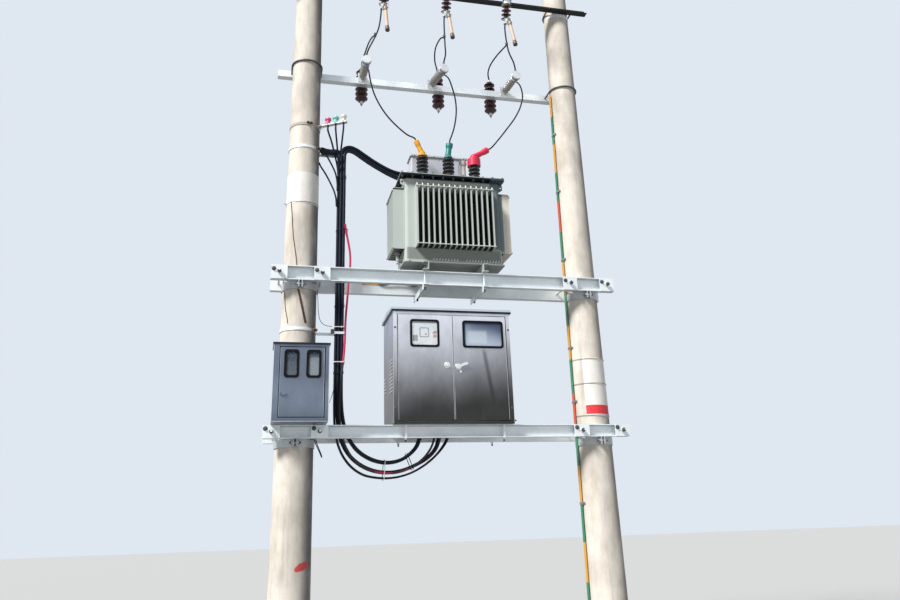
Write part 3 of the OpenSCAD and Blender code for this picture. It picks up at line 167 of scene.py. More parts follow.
# Middle of the four supply cables: x, y, z, half their spread in Y, half their spread across
supplyRoute = [
    (932.7, 140, 4420, 22, 22), (880, 140, 4420, 21, 21), (800, 130, 4438, 17, 17),
    (710, 110, 4470, 15, 15), (620, 90, 4510, 15, 15), (530, 62, 4553, 15, 15), (455, 36, 4588, 14.5, 14.5),
    (400, 16, 4594, 14.5, 14.5), (364, 10, 4578, 14.5, 14.5), (346, 9.5, 4540, 14.5, 14.5),
    (341.5, 9.5, 4490, 14.5, 14.5), (341.5, 9.5, 4150, 14.5, 14.5), (341.5, 9.5, 3750, 14.5, 14.5),
    (341.5, 9.5, 3350, 14.5, 14.5), (341.5, 9.5, 2950, 14.5, 14.5), (341.5, 9.5, 2550, 14.5, 14.5),
    (343, 9.5, 2340, 15, 16), (351, 10, 2205, 16, 20), (372, 10, 2090, 17, 26), (410, 10, 1997, 18, 32),
    (470, 10, 1917, 19, 36), (550, 10, 1858, 20, 38), (645, 10, 1821, 21, 38), (745, 10, 1811, 22, 38),
    (845, 10, 1828, 22, 40), (935, 10, 1870, 22, 48), (1010, 10, 1925, 22, 62), (1058, 10, 1990, 22, 76),
    (1075, 10, 2050, 22, 80), (1075, 10, 2087.7, 22, 80)]
feederRoute = [
    (303, 5, 4330), (303, 5, 4000), (303, 5, 3600), (303, 5, 3200), (303, 5, 2800), (303, 5, 2450),
    (304, 5, 2260), (312, 5, 2120), (334, 5, 2005), (380, 5, 1900), (450, 5, 1815), (540, 5, 1758),
    (640, 5, 1735), (745, 5, 1730), (850, 5, 1745), (950, 5, 1780), (1045, 5, 1835), (1130, 5, 1905),
    (1190, 5, 1975), (1220, 5, 2025), (1228, 5, 2060), (1228, 5, 2087.7)]
feederStarts = [
    [(194.9, -112.5, 4744.7), (194.9, -112.5, 4699.7), (232, -60, 4620), (266, 0, 4530), (292, 22, 4430)],
    [(259.8, -150, 4744.7), (259.8, -150, 4699.7), (272, -110, 4620), (287, -62, 4530), (299, -20, 4430)],
    [(324.8, -187.5, 4744.7), (324.8, -187.5, 4699.7), (320, -165, 4620), (314, -110, 4530), (306, -48, 4430)]
]
# How far the three lie apart in Y, on the way and at the last points by their gland
feederGap = {"way": 17, "gland": 30, "glandPoints": 4}

# Thinner cables: a red one, two branches at the upper bracket, the earth lead of the tank, a spare loop and
# a tie wire
extraRoutes = {
    "redLead": (leadCord, [
        (366, -30, 3850), (378, -16, 3785), (398, -12, 3685), (414, -10, 3585), (416, -10, 3470),
        (404, -10, 3333), (395, -10, 3175), (383, -12, 2985), (378, -16, 2800), (368, -28, 2660),
        (350, -40, 2500), (341, -42, 2340), (344, -42, 2200), (360, -43, 2075), (392, -44, 1975),
        (452, -44, 1882), (540, -44, 1815), (645, -44, 1776), (750, -44, 1764), (852, -44, 1781),
        (950, -44, 1826), (1035, -46, 1898), (1085, -50, 1975), (1104, -52, 2050), (1104, -52, 2094)]),
    "upperBranch": (thinCord, [
        (190, -22, 4502), (212, -25, 4462), (244, -26, 4400), (276, -25, 4325), (292, -24, 4240),
        (294, -22, 4160)]),
    "lowerBranch": (thinCord, [
        (136, 46, 4452), (148, 24, 4408), (178, -4, 4345), (208, -16, 4285), (236, -22, 4225),
        (264, -26, 4160), (283, -26, 4090), (290, -22, 4010)]),
    "earthLead": (thinCord, [
        (676, 130, 3373), (712, 128, 3362), (764, 124, 3366), (815, 118, 3384), (870, 114, 3388),
        (935, 116, 3378), (990, 120, 3360), (1030, 118, 3372), (1046, 112, 3391)]),
    "spareLoop": (tailCord, [
        (146, -135, 2112), (150, -136, 2040), (166, -137, 1985), (190, -137, 1930), (204, -128, 1897),
        (207, -107, 1886), (203, -86, 1897), (187, -78, 1935), (160, -78, 1990), (143, -80, 2045),
        (138, -84, 2112)]),
    "tieWire": (wireCord, [
        (146, -30, 3245), (152, -30, 3150), (160, -30, 3040), (180, -30, 2975), (214, -30, 2946),
        (245, -30, 2939), (271, -30, 2937)])}


def strandOf(route, u, v):
    p = [Vector(q[:3]) for q in route]
    line = []
    for i, q in enumerate(route):
        behind = (p[i] - p[i - 1]).normalized() if i else Vector()
        ahead = (p[i + 1] - p[i]).normalized() if i < len(p) - 1 else Vector()
        heading = (behind + ahead).normalized()
        side = (Vector((0, 1, 0)) - heading.y * heading).normalized()
        line.append(p[i] + u * q[3] * side + v * q[4] * heading.cross(side))
    return line


cordLengths = {}
cables = {"hv": [], "supply": [], "feeder": [], "extra": []}
for name, points in hvRoutes.items():
    piece, cordLengths[name] = makeCord(name + "Lead", points, hvCord, "hv_leads")
    cables["hv"].append(piece)
for u, v in ((-1, -1), (-1, 1), (1, -1), (1, 1)):
    name = "supply" + ("Front" if u < 0 else "Back") + ("Outer" if v < 0 else "Inner")
    strand = strandOf(supplyRoute, u, v)
    piece, cordLengths[name] = makeCord(name + "Cable", strand, supplyCord, "supply_cables")
    cables["supply"].append(piece)
for k in range(3):
    low = []
    for i, (x, y, z) in enumerate(feederRoute):
        apart = feederGap["way"] if i < len(feederRoute) - feederGap["glandPoints"] else feederGap["gland"]
        low.append((x, y + (1 - k) * apart, z))
    name = "feeder" + ("Back", "Middle", "Front")[k]
    piece, cordLengths[name] = makeCord(name + "Cable", feederStarts[k] + low, feederCord, "feeder_cables")
    cables["feeder"].append(piece)
for name, (kind, points) in extraRoutes.items():
    piece, cordLengths[name] = makeCord(name + "Cable", points, kind)
    cables["extra"].append(piece)
print("cords made:", {k: round(v, 3) for k, v in cordLengths.items()})


# Shader kit: a Wire is a socket that can be used in Python expressions
class Wire:
    def __init__(self, kit, socket):
        self.kit = kit
        self.socket = socket

    def maths(self, operation, a, b):
        return self.kit.node("ShaderNodeMath", {"operation": operation}, {0: a, 1: b})

    def __add__(self, other):
        return self.maths("ADD", self, other)

    def __sub__(self, other):
        return self.maths("SUBTRACT", self, other)

    def __rsub__(self, other):
        return self.maths("SUBTRACT", other, self)

    def __mul__(self, other):
        return self.maths("MULTIPLY", self, other)

    def __truediv__(self, other):
        return self.maths("DIVIDE", self, other)

    def __pow__(self, other):
        return self.maths("POWER", self, other)

    def __mod__(self, other):
        return self.maths("FLOORED_MODULO", self, other)

    def __lt__(self, other):
        return self.maths("LESS_THAN", self, other)

    def __abs__(self):
        return self.maths("ABSOLUTE", self, 0.0)

    __radd__ = __add__
    __rmul__ = __mul__


# The nodes of one tree, made by one method; a Finish is the tree of a material
class NodeKit:
    def __init__(self, tree):
        self.tree = tree
        tree.nodes.clear()

    def node(self, kind, settings, inputs, out=0):
        made = self.tree.nodes.new(kind)
        for key, value in settings.items():
            if key == "stops":
                band = made.color_ramp.elements
                while len(band) < len(value):
                    band.new(0.5)
                for stop, (at, colour) in zip(band, value):
                    stop.position = at
                    stop.color = (*colour, 1)
            else:
                setattr(made, key, value)
        for key, value in inputs.items():
            if isinstance(value, Wire):
                self.tree.links.new(value.socket, made.inputs[key])
            else:
                entry = made.inputs[key]
                entry.default_value = (*value, 1) if entry.type == "RGBA" and len(value) == 3 else value
        if isinstance(out, tuple):
            return [Wire(self, made.outputs[k]) for k in out]
        return Wire(self, made.outputs[out]) if len(made.outputs) else None


class Finish(NodeKit):
    def __init__(self, name):
        self.material = bpy.data.materials.new(name)
        self.material.use_nodes = True
        super().__init__(self.material.node_tree)
        self.place = self.node("ShaderNodeTexCoord", {}, {}, "Object")
        self.x, self.y, self.z = self.node("ShaderNodeSeparateXYZ", {}, {0: self.place}, (0, 1, 2))
        self.normal = self.node("ShaderNodeNewGeometry", {}, {}, "Normal")
        self.across, self.facing = self.node("ShaderNodeSeparateXYZ", {}, {0: self.normal}, (0, 2))

    def noise(self, scale, detail=3.0, rough=0.55, stretch=(1, 1, 1), shift=0.0):
        spot = self.node("ShaderNodeVectorMath", {"operation": "MULTIPLY"}, {0: self.place, 1: stretch})
        away = (shift, shift * 0.7, shift * 1.3)
        spot = self.node("ShaderNodeVectorMath", {"operation": "ADD"}, {0: spot, 1: away})
        inputs = {"Vector": spot, "Scale": scale, "Detail": detail, "Roughness": rough}
        return self.node("ShaderNodeTexNoise", {}, inputs)

    def cells(self, scale, feature="F1", out="Distance"):
        inputs = {"Vector": self.place, "Scale": scale}
        return self.node("ShaderNodeTexVoronoi", {"feature": feature}, inputs, out)

    def step(self, value, low, high):
        return self.node("ShaderNodeMapRange", {"interpolation_type": "SMOOTHSTEP"},
                         {"Value": value, "From Min": low, "From Max": high})

    def between(self, value, low, high, soft=0.0004):
        return self.step(value, low - soft, low + soft) * (1 - self.step(value, high - soft, high + soft))

    def mix(self, first, second, factor):
        return self.node("ShaderNodeMix", {"data_type": "RGBA"}, {0: factor, 6: first, 7: second}, 2)

    def shade(self, colour, amount):
        # a colour made lighter or darker by a number around 1
        grey = self.node("ShaderNodeCombineXYZ", {}, {0: amount, 1: amount, 2: amount})
        settings = {"data_type": "RGBA", "blend_type": "MULTIPLY"}
        return self.node("ShaderNodeMix", settings, {0: 1.0, 6: colour, 7: grey}, 2)

    def close(self, look, extras=None):
        inputs = {"Base Color": look["colour"], "Roughness": look["rough"],
                  "Metallic": look.get("metal", 0.0)}
        if "height" in look:
            bump = {"Strength": 0.6, "Distance": look.get("deep", 0.001), "Height": look["height"]}
            inputs["Normal"] = self.node("ShaderNodeBump", {}, bump)
        inputs.update(extras or {})
        surface = self.node("ShaderNodeBsdfPrincipled", {}, inputs)
        self.node("ShaderNodeOutputMaterial", {}, {"Surface": surface})
        return self.material


def blendLooks(f, first, second, mask):
    # where mask is 1 the second look shows
    made = {"colour": f.mix(first["colour"], second["colour"], mask), "deep": first.get("deep", 0.001)}
    for key in ("rough", "metal", "height"):
        a, b = first.get(key, 0.0), second.get(key, 0.0)
        if isinstance(a, Wire) or isinstance(b, Wire) or a != b:
            made[key] = (1 - mask) * a + mask * b
        else:
            made[key] = a
    return made


# Studio: pale floor and background, a soft key light from the upper left and a weak bluish one from all round
studio = {"floor": (0.50, 0.505, 0.51), "floorReach": 60, "floorRough": 0.9, "background": (0.74, 0.80, 0.88),
          "fill": 0.19, "fillColour": (0.82, 0.91, 1), "key": 5.4, "keyColour": (1, 0.98, 0.945),
          "keyTurn": (46, -56), "keySpread": 14}


def makeStudio(s):
    world = bpy.data.worlds.new("studio")
    scene.world = world
    world.use_nodes = True
    kit = NodeKit(world.node_tree)
    rays = ("Is Camera Ray", "Is Glossy Ray", "Is Transmission Ray")
    seen, glossy, through = kit.node("ShaderNodeLightPath", {}, {}, rays)
    seen = seen.maths("MAXIMUM", seen, glossy)
    seen = seen.maths("MAXIMUM", seen, through)
    fill = kit.node("ShaderNodeBackground", {}, {"Color": s["fillColour"], "Strength": s["fill"]})
    behind = kit.node("ShaderNodeBackground", {}, {"Color": s["background"], "Strength": 1.0})
    both = kit.node("ShaderNodeMixShader", {}, {0: seen, 1: fill, 2: behind})
    kit.node("ShaderNodeOutputWorld", {}, {"Surface": both})
    sun = bpy.data.lights.new("keyLight", "SUN")
    sun.energy = s["key"]
    sun.angle = math.radians(s["keySpread"])
    sun.color = s["keyColour"]
    lamp = bpy.data.objects.new("keyLight", sun)
    scene.collection.objects.link(lamp)
    high, side = s["keyTurn"]
    lamp.rotation_euler = (math.radians(high), 0, math.radians(side))
    mesh = bpy.data.meshes.new("floor")
    far = s["floorReach"]
    mesh.from_pydata([(-far, -far, 0), (far, -far, 0), (far, far, 0), (-far, far, 0)], [], [(0, 1, 2, 3)])
    floor = bpy.data.objects.new("floor", mesh)
    scene.collection.objects.link(floor)
    paper = Finish("paleFloor")
    mesh.materials.append(paper.close({"colour": s["floor"], "rough": s["floorRough"]}))


makeStudio(studio)
print("studio ready")


# Looks: colours are linear
# the bluish near-black colour of the concrete is painted shade, for the faces of a pole turned away from the
# key light
concrete = {"pale": (0.70, 0.65, 0.585), "dark": (0.47, 0.43, 0.38), "stain": (0.17, 0.145, 0.125),
            "splash": (0.40, 0.31, 0.22), "sideShade": (0.075, 0.08, 0.09), "pore": 0.45}
zinc = {"bright": (0.88, 0.93, 0.95), "dull": (0.68, 0.74, 0.78), "oxide": (0.90, 0.93, 0.94), "rough": 0.42}
enamel = {"colour": (0.44, 0.49, 0.46), "worn": (0.52, 0.56, 0.55), "dust": (0.50, 0.46, 0.38), "rough": 0.34}
# near black of the painted shade on the rim of the tank and the flanks of its cover
rimShade = (0.003, 0.006, 0.011)
# the stainless sheet is painted from a dark colour low to a light one high, as painted reflection of ground
# and sky; its ends, the roof and the meter box have their own pairs of colours
stainless = {"high": (0.80, 0.80, 0.85), "low": (0.046, 0.048, 0.044), "from": 2.2, "to": 3.08, "rough": 0.26,
             "dust": (0.36, 0.34, 0.30), "ends": ((0.150, 0.128, 0.120), (0.24, 0.28, 0.36)),
             "roof": ((0.05, 0.052, 0.06), (0.09, 0.095, 0.11)),
             "box": ((0.135, 0.160, 0.200), (0.170, 0.205, 0.260))}


def concreteLook(f, sideShade=0.72):
    patches = f.noise(1.6, 4.0, 0.6)
    cloud = f.noise(9.0, 5.0, 0.65, (1, 1, 0.35), 3.1)
    grain = f.noise(160.0, 2.0)
    streak = f.step(f.noise(16.0, 4.0, 0.6, (1, 1, 0.05), 8.0), 0.55, 0.75)
    pores = f.step(f.cells(46.0), 0.10, 0.17)
    spots = f.noise(22.0, 2.0, 0.5, (1, 1, 1), 5.0)
    holes = (1 - pores) * f.step(spots, 0.50, 0.62) * concrete["pore"]
    splash = f.step(f.z + cloud * 0.8, 1.1, 0.2)
    colour = f.mix(concrete["pale"], concrete["dark"], f.step(patches * 0.5 + cloud * 0.5, 0.38, 0.66))
    colour = f.mix(colour, concrete["stain"], streak * 0.30 + holes * 0.7)
    colour = f.mix(colour, concrete["splash"], splash * 0.35)
    colour = f.shade(colour, grain * 0.16 + 0.92)
    seam = f.between(f.y, -0.0016, 0.0016, 0.001) * (f.step(cloud, 0.35, 0.5))
    colour = f.mix(colour, concrete["stain"], seam * 0.35)
    # painted shade on the faces turned to +x, away from the key light, broken up by the cloud noise
    shadedSide = f.step(f.across, 0.40, 0.88) * f.step(cloud, 0.12, 0.55)
    colour = f.mix(colour, concrete["sideShade"], shadedSide * sideShade)
    return {"colour": colour, "rough": 0.86 - 0.1 * cloud, "deep": 0.0022,
            "height": cloud * 0.35 + grain * 0.10 - holes - seam * 0.3}


# A dab of red paint low on the front of the left pole
redDab = {"x": 0.078, "z": 1.112, "halfWide": 0.052, "halfHigh": 0.032, "slope": 0.35,
          "colour": (0.66, 0.028, 0.036)}


def markedConcreteLook(f):
    rag = f.noise(26.0, 4.0, 0.65, (1, 1, 1), 15.0)
    off = f.x - redDab["x"]
    high = f.z - redDab["z"] - off * redDab["slope"]
    reach = (off / redDab["halfWide"]) ** 2.0 + (high / redDab["halfHigh"]) ** 2.0
    mark = f.step(reach + rag * 2.4, 2.25, 1.75) * f.step(f.y, 0.0, -0.01)
    red = {"colour": f.shade(redDab["colour"], rag * 0.4 + 0.8), "rough": 0.55, "height": rag, "deep": 0.0022}
    # the left pole gets a stronger painted shade on its +x faces
    return blendLooks(f, concreteLook(f, 0.88), red, mark * 0.92)


def zincLook(f, tone=1.0):
    spangle = f.cells(75.0, "SMOOTH_F1", "Color")
    tint = f.node("ShaderNodeSeparateXYZ", {}, {0: spangle}, 0)
    wide = f.noise(5.0, 4.0, 0.6)
    bloom = f.step(f.noise(34.0, 5.0, 0.7, (1, 1, 1), 2.0), 0.56, 0.74)
    colour = f.mix(zinc["bright"], zinc["dull"], tint * 0.16 + f.step(wide, 0.35, 0.7) * 0.55)
    colour = f.mix(colour, zinc["oxide"], bloom * 0.16)
    # undersides are painted darker, as painted shade; tone lightens or darkens the whole colour
    under = f.step(f.facing, -0.4, -0.9)
    colour = f.shade(colour, tone * (1 - 0.5 * under))
    return {"colour": colour, "rough": zinc["rough"] + tint * 0.08 + bloom * 0.2, "deep": 0.0001,
            "metal": 0.38 - 0.12 * bloom, "height": tint * 0.1 + bloom * 0.2}


def enamelLook(f, colour=None, dusty=0.55):
    peel = f.noise(210.0, 2.0)
    wide = f.noise(3.5, 4.0, 0.6)
    fine = f.noise(60.0, 5.0, 0.7)
    dust = f.step(f.facing, 0.35, 0.95) * dusty + f.step(wide * 0.7 + fine * 0.3, 0.52, 0.72) * 0.16
    worn = f.mix(colour or enamel["colour"], enamel["worn"], f.step(wide, 0.3, 0.7) * 0.25)
    # undersides are painted darker, as painted shade
    under = f.step(f.facing, -0.4, -0.9)
    shade = f.mix(f.shade(worn, fine * 0.06 + 0.97), enamel["dust"], dust)
    return {"colour": f.shade(shade, 1 - 0.6 * under), "rough": enamel["rough"] + dust * 0.4 + fine * 0.05,
            "height": peel * 0.2 + fine * 0.1, "deep": 0.0003}


# Painted shadow on the right of the front of the tank, from the last fin to the bank on the end, where the
# fins would shade it
rightShade = {"from": 1.632, "to": 1.753, "front": -0.155, "above": 3.615, "colour": (0.050, 0.088, 0.120),
              "amount": 0.72}
# Fins as the solids have them, in metres: middle and half length of the tank, half lengths of the banks; and
# the pale colour of painted sunlight on the right face of the right bank
finBanks = {"middle": 1.29, "tank": (0.430, 0.200), "long": 0.3415, "short": 0.1615, "gapTo": 0.0965,
            "top": 4.146, "rightFace": 1.755, "rightLitColour": (0.74, 0.68, 0.58)}


def shadeBand(f):
    high = f.step(f.z, rightShade["above"] - 0.015, rightShade["above"] + 0.015)
    near = f.step(f.y, rightShade["front"] + 0.005, rightShade["front"] - 0.005)
    return f.between(f.x, rightShade["from"], rightShade["to"], 0.004) * near * high


def finLook(f):
    # painted shade darkens the gaps between the fins, not the outer faces of a bank, and darkens the
    # undersides and the top edge of the end banks
    k = finBanks
    halfX, halfY = k["tank"]
    look = enamelLook(f)
    along, across = abs(f.x - k["middle"]), abs(f.y)
    long = f.step(across, halfY - 0.002, halfY) * f.step(along, k["long"] + 0.0005, k["long"] - 0.0005)
    short = f.step(along, halfX - 0.002, halfX) * f.step(across, k["short"] + 0.0005, k["short"] - 0.0005)
    out = (across - halfY) * long + (along - halfX) * short
    gap = (1 - f.step(out, 0.080, k["gapTo"])) * (long + short) * f.step(f.facing, -0.9, -0.4)
    end = f.step(along, halfX - 0.002, halfX)
    below = f.step(f.facing, -0.4, -0.9) * end
    top = f.step(f.z, k["top"] - 0.002, k["top"] + 0.002) * end
    look["colour"] = f.shade(look["colour"], (1 - 0.93 * gap) * (1 - 0.75 * below) * (1 - 0.9 * top))
    # a pale strip of painted sunlight on the right face of the right bank
    pale = f.step(f.x, k["rightFace"] - 0.002, k["rightFace"] + 0.002)
    look["colour"] = f.mix(look["colour"], k["rightLitColour"], pale * 0.75)
    look["colour"] = f.mix(look["colour"], rightShade["colour"], rightShade["amount"] * shadeBand(f))
    look["rough"] = look["rough"] + 0.4 * gap
    return look


def tankLook(f):
    # painted shade: the rim and the flanks of the cover are painted near black, and the wall below the fins
    # darker, where shadow falls; the painted shadow band of the fins lies on the right
    look = enamelLook(f)
    flank = f.step(f.facing, 0.7, 0.5) * f.step(f.z, 4.236, 4.252) * f.step(f.z, 4.2770, 4.2762)
    look["colour"] = f.mix(look["colour"], rimShade, flank * 0.99)
    low = f.between(f.z, 3.498, 3.606, 0.006) * f.step(f.y, -0.19, -0.198)
    look["colour"] = f.shade(look["colour"], 1 - 0.48 * low)
    look["colour"] = f.mix(look["colour"], rightShade["colour"], rightShade["amount"] * shadeBand(f))
    return look


def stainlessLook(f, dark=None, light=None):
    low, high = stainless["from"], stainless["to"]
    brush = f.noise(36.0, 4.0, 0.7, (1.2, 1.2, 40), 1.0)
    hairs = f.noise(90.0, 2.0, 0.6, (0.6, 0.6, 30), 4.0)
    reflectionSmear = f.noise(4.0, 4.0, 0.6, (1, 1, 0.6), 6.0)
    rain = f.step(f.noise(26.0, 3.0, 0.6, (1, 1, 0.06), 9.0), 0.58, 0.78)
    # painted reflection: dark low, light high, its edge waved by a broad noise that also roughens the sheet
    rise = f.step(f.z + reflectionSmear * 0.16 - 0.08 - (f.x - 1.235) * 0.16, low, high)
    colour = f.mix(dark or stainless["low"], light or stainless["high"], rise)
    # broad patches of painted reflection
    reflectionWaves = f.noise(2.6, 5.0, 0.6, (1.6, 1, 1), 12.0)
    colour = f.shade(colour, brush * 0.20 + hairs * 0.12 + reflectionSmear * 0.2 + reflectionWaves * 0.9 + 0.30)
    colour = f.mix(colour, stainless["dust"], rain * 0.08 + f.step(f.facing, 0.5, 0.95) * 0.35)
    # the end faces take their own colours, darker than the front, as painted shade, and lighter high up, as
    # painted reflection
    side = f.step(abs(f.across), 0.7, 0.9)
    colour = f.mix(colour, f.mix(*stainless["ends"], f.step(f.z, 2.55, 2.98)), side * 0.78)
    return {"colour": colour, "rough": stainless["rough"] + brush * 0.14 + reflectionSmear * 0.12, "metal": 0.85,
            "height": brush * 0.4 + hairs * 0.4 + reflectionWaves * 0.6, "deep": 0.00014}


def roofLook(f):
    # dark sheet with painted reflection; its flank is painted bright above its drip edge, as painted light,
    # and black below it, as painted shadow
    look = stainlessLook(f, *stainless["roof"])
    flank = f.step(f.facing, 0.6, 0.4) * f.step(f.facing, -0.6, -0.4)
    bright = f.step(f.z, 3.0385, 3.0400)
    look["colour"] = f.mix(look["colour"], (0.62, 0.67, 0.72), flank * bright)
    look["colour"] = f.mix(look["colour"], (0.012, 0.013, 0.015), flank * (1 - bright))
    return look


def rightLeafLook(f):
    # painted reflection: a dark streak runs down the leaf from its window
    look = stainlessLook(f)
    reflectionSmear = f.between(f.x - (2.75 - f.z) * 0.16, 1.474, 1.504, 0.014)
    reflectionSmear = reflectionSmear * f.step(f.z, 2.75, 2.68) * f.step(f.z, 2.22, 2.45)
    look["colour"] = f.shade(look["colour"], 1 - 0.5 * reflectionSmear)
    return look


def boxLook(f):
    # meter box: blue-grey sheet with painted reflection; its left end painted paler, as painted light, a band
    # low on it lighter, and the flank of its roof edge near black
    look = stainlessLook(f, *stainless["box"])
    look["colour"] = f.mix(look["colour"], (0.50, 0.54, 0.60), f.step(f.across, -0.7, -0.9) * 0.7)
    look["colour"] = f.shade(look["colour"], 1.0 + 0.45 * f.between(f.z, 2.18, 2.40, 0.08))
    edge = f.step(f.z, 2.697, 2.699) * f.step(f.facing, 0.6, 0.4)
    look["colour"] = f.mix(look["colour"], (0.020, 0.023, 0.030), edge * 0.95)
    return look


def shedLook(f, colour, gloss=0.42):
    dust = f.step(f.facing, 0.15, 0.9)
    fine = f.noise(70.0, 4.0, 0.65)
    made = f.shade(colour, fine * 0.3 + 0.85)
    return {"colour": f.mix(made, (0.30, 0.26, 0.22), dust * (fine * 0.5 + 0.15)),
            "rough": gloss + dust * 0.3, "height": fine * 0.3, "deep": 0.0004}


def porcelainLook(f, tone=1.0):
    fine = f.noise(40.0, 4.0, 0.6)
    dust = f.step(f.facing, 0.2, 0.9)
    colour = f.shade(f.mix((0.80, 0.77, 0.72), (0.62, 0.58, 0.52), fine * 0.4), tone)
    return {"colour": f.mix(colour, (0.48, 0.43, 0.35), dust * fine * 0.8), "rough": 0.18 + dust * 0.35,
            "height": fine * 0.1, "deep": 0.0003}


def rubberLook(f, colour=(0.008, 0.009, 0.012), rough=0.5):
    fine = f.noise(120.0, 3.0, 0.6)
    wide = f.noise(9.0, 4.0, 0.6)
    dust = f.step(f.facing, 0.2, 1.0) * 0.3 * f.step(wide, 0.35, 0.7)
    made = f.shade(colour, fine * 0.4 + 0.8)
    return {"colour": f.mix(made, (0.22, 0.20, 0.17), dust * 0.3), "rough": rough + fine * 0.12,
            "height": fine * 0.3, "deep": 0.0003}


def redCableLook(f):
    # red above the lower bracket; its dirty sheath is all but black in the loop below
    wide = f.noise(6.0, 3.0, 0.6)
    red = f.step(f.z, 2.60, 2.68) + f.step(f.z, 1.86, 1.80) * f.step(wide, 0.44, 0.56) * 0.7
    return blendLooks(f, rubberLook(f, (0.010, 0.010, 0.016)), rubberLook(f, (0.52, 0.015, 0.075), 0.4), red)


def siliconeLook(f, colour):
    fine = f.noise(150.0, 3.0, 0.6)
    wide = f.noise(14.0, 4.0, 0.6)
    dust = f.step(f.facing, 0.2, 1.0) * f.step(wide, 0.4, 0.7) * 0.3
    deeper = tuple(c * 0.72 for c in colour)
    made = f.mix(colour, deeper, f.step(wide, 0.35, 0.7) * 0.6)
    return {"colour": f.mix(made, (0.45, 0.40, 0.33), dust), "rough": 0.34 + fine * 0.16,
            "height": fine * 0.3, "deep": 0.0003}


def plasticLook(f, colour, rough=0.45):
    fine = f.noise(180.0, 2.0)
    wide = f.noise(7.0, 3.0)
    return {"colour": f.shade(colour, wide * 0.10 + 0.95), "rough": rough + fine * 0.1, "height": fine * 0.2,
            "deep": 0.0002}


def metalLook(f, colour, rough=0.3, metal=0.9):
    fine = f.noise(140.0, 3.0, 0.6)
    wide = f.noise(18.0, 4.0, 0.6)
    return {"colour": f.shade(colour, wide * 0.3 + 0.84), "rough": rough + fine * 0.14 + wide * 0.1,
            "metal": metal, "height": fine * 0.4, "deep": 0.0002}


def rustLook(f, tone=1.0):
    fine = f.noise(90.0, 5.0, 0.7)
    wide = f.noise(14.0, 4.0, 0.6)
    colour = f.mix((0.20, 0.085, 0.04), (0.33, 0.19, 0.12), f.step(wide, 0.35, 0.65))
    return {"colour": f.shade(colour, (fine * 0.6 + 0.7) * tone), "rough": 0.85 - 0.15 * wide,
            "height": fine * 0.8, "deep": 0.0006}


# Sheet of the bands: white with creases and dust, and a plain red bar low on the right one
bandSheet = {"white": (0.80, 0.78, 0.75), "dusty": (0.62, 0.59, 0.54), "red": (0.68, 0.03, 0.04),
             "bar": ((2.400, 2.652), (2.212, 2.288))}


def signLook(f):
    creases = f.noise(9.0, 4.0, 0.55, (1, 1, 0.5), 2.0)
    fine = f.noise(70.0, 4.0, 0.6)
    wide, high = bandSheet["bar"]
    bar = f.between(f.z, *high, 0.001) * f.between(f.x, *wide, 0.001) * f.step(f.y, 0.0, -0.002)
    dust = f.step(creases * 0.7 + fine * 0.3, 0.46, 0.72) * 0.6
    white = f.mix(bandSheet["white"], bandSheet["dusty"], dust)
    worn = bar * (1 - 0.25 * f.step(fine, 0.55, 0.8))
    return {"colour": f.mix(white, bandSheet["red"], worn), "rough": 0.42 + 0.2 * fine,
            "height": creases * 0.9 + fine * 0.1, "deep": 0.0015}


def simple(name, look, *settings, extras=None, **named):
    f = Finish(name)
    return f.close(look(f, *settings, **named), extras)


dull = {"Specular IOR Level": 0.22}
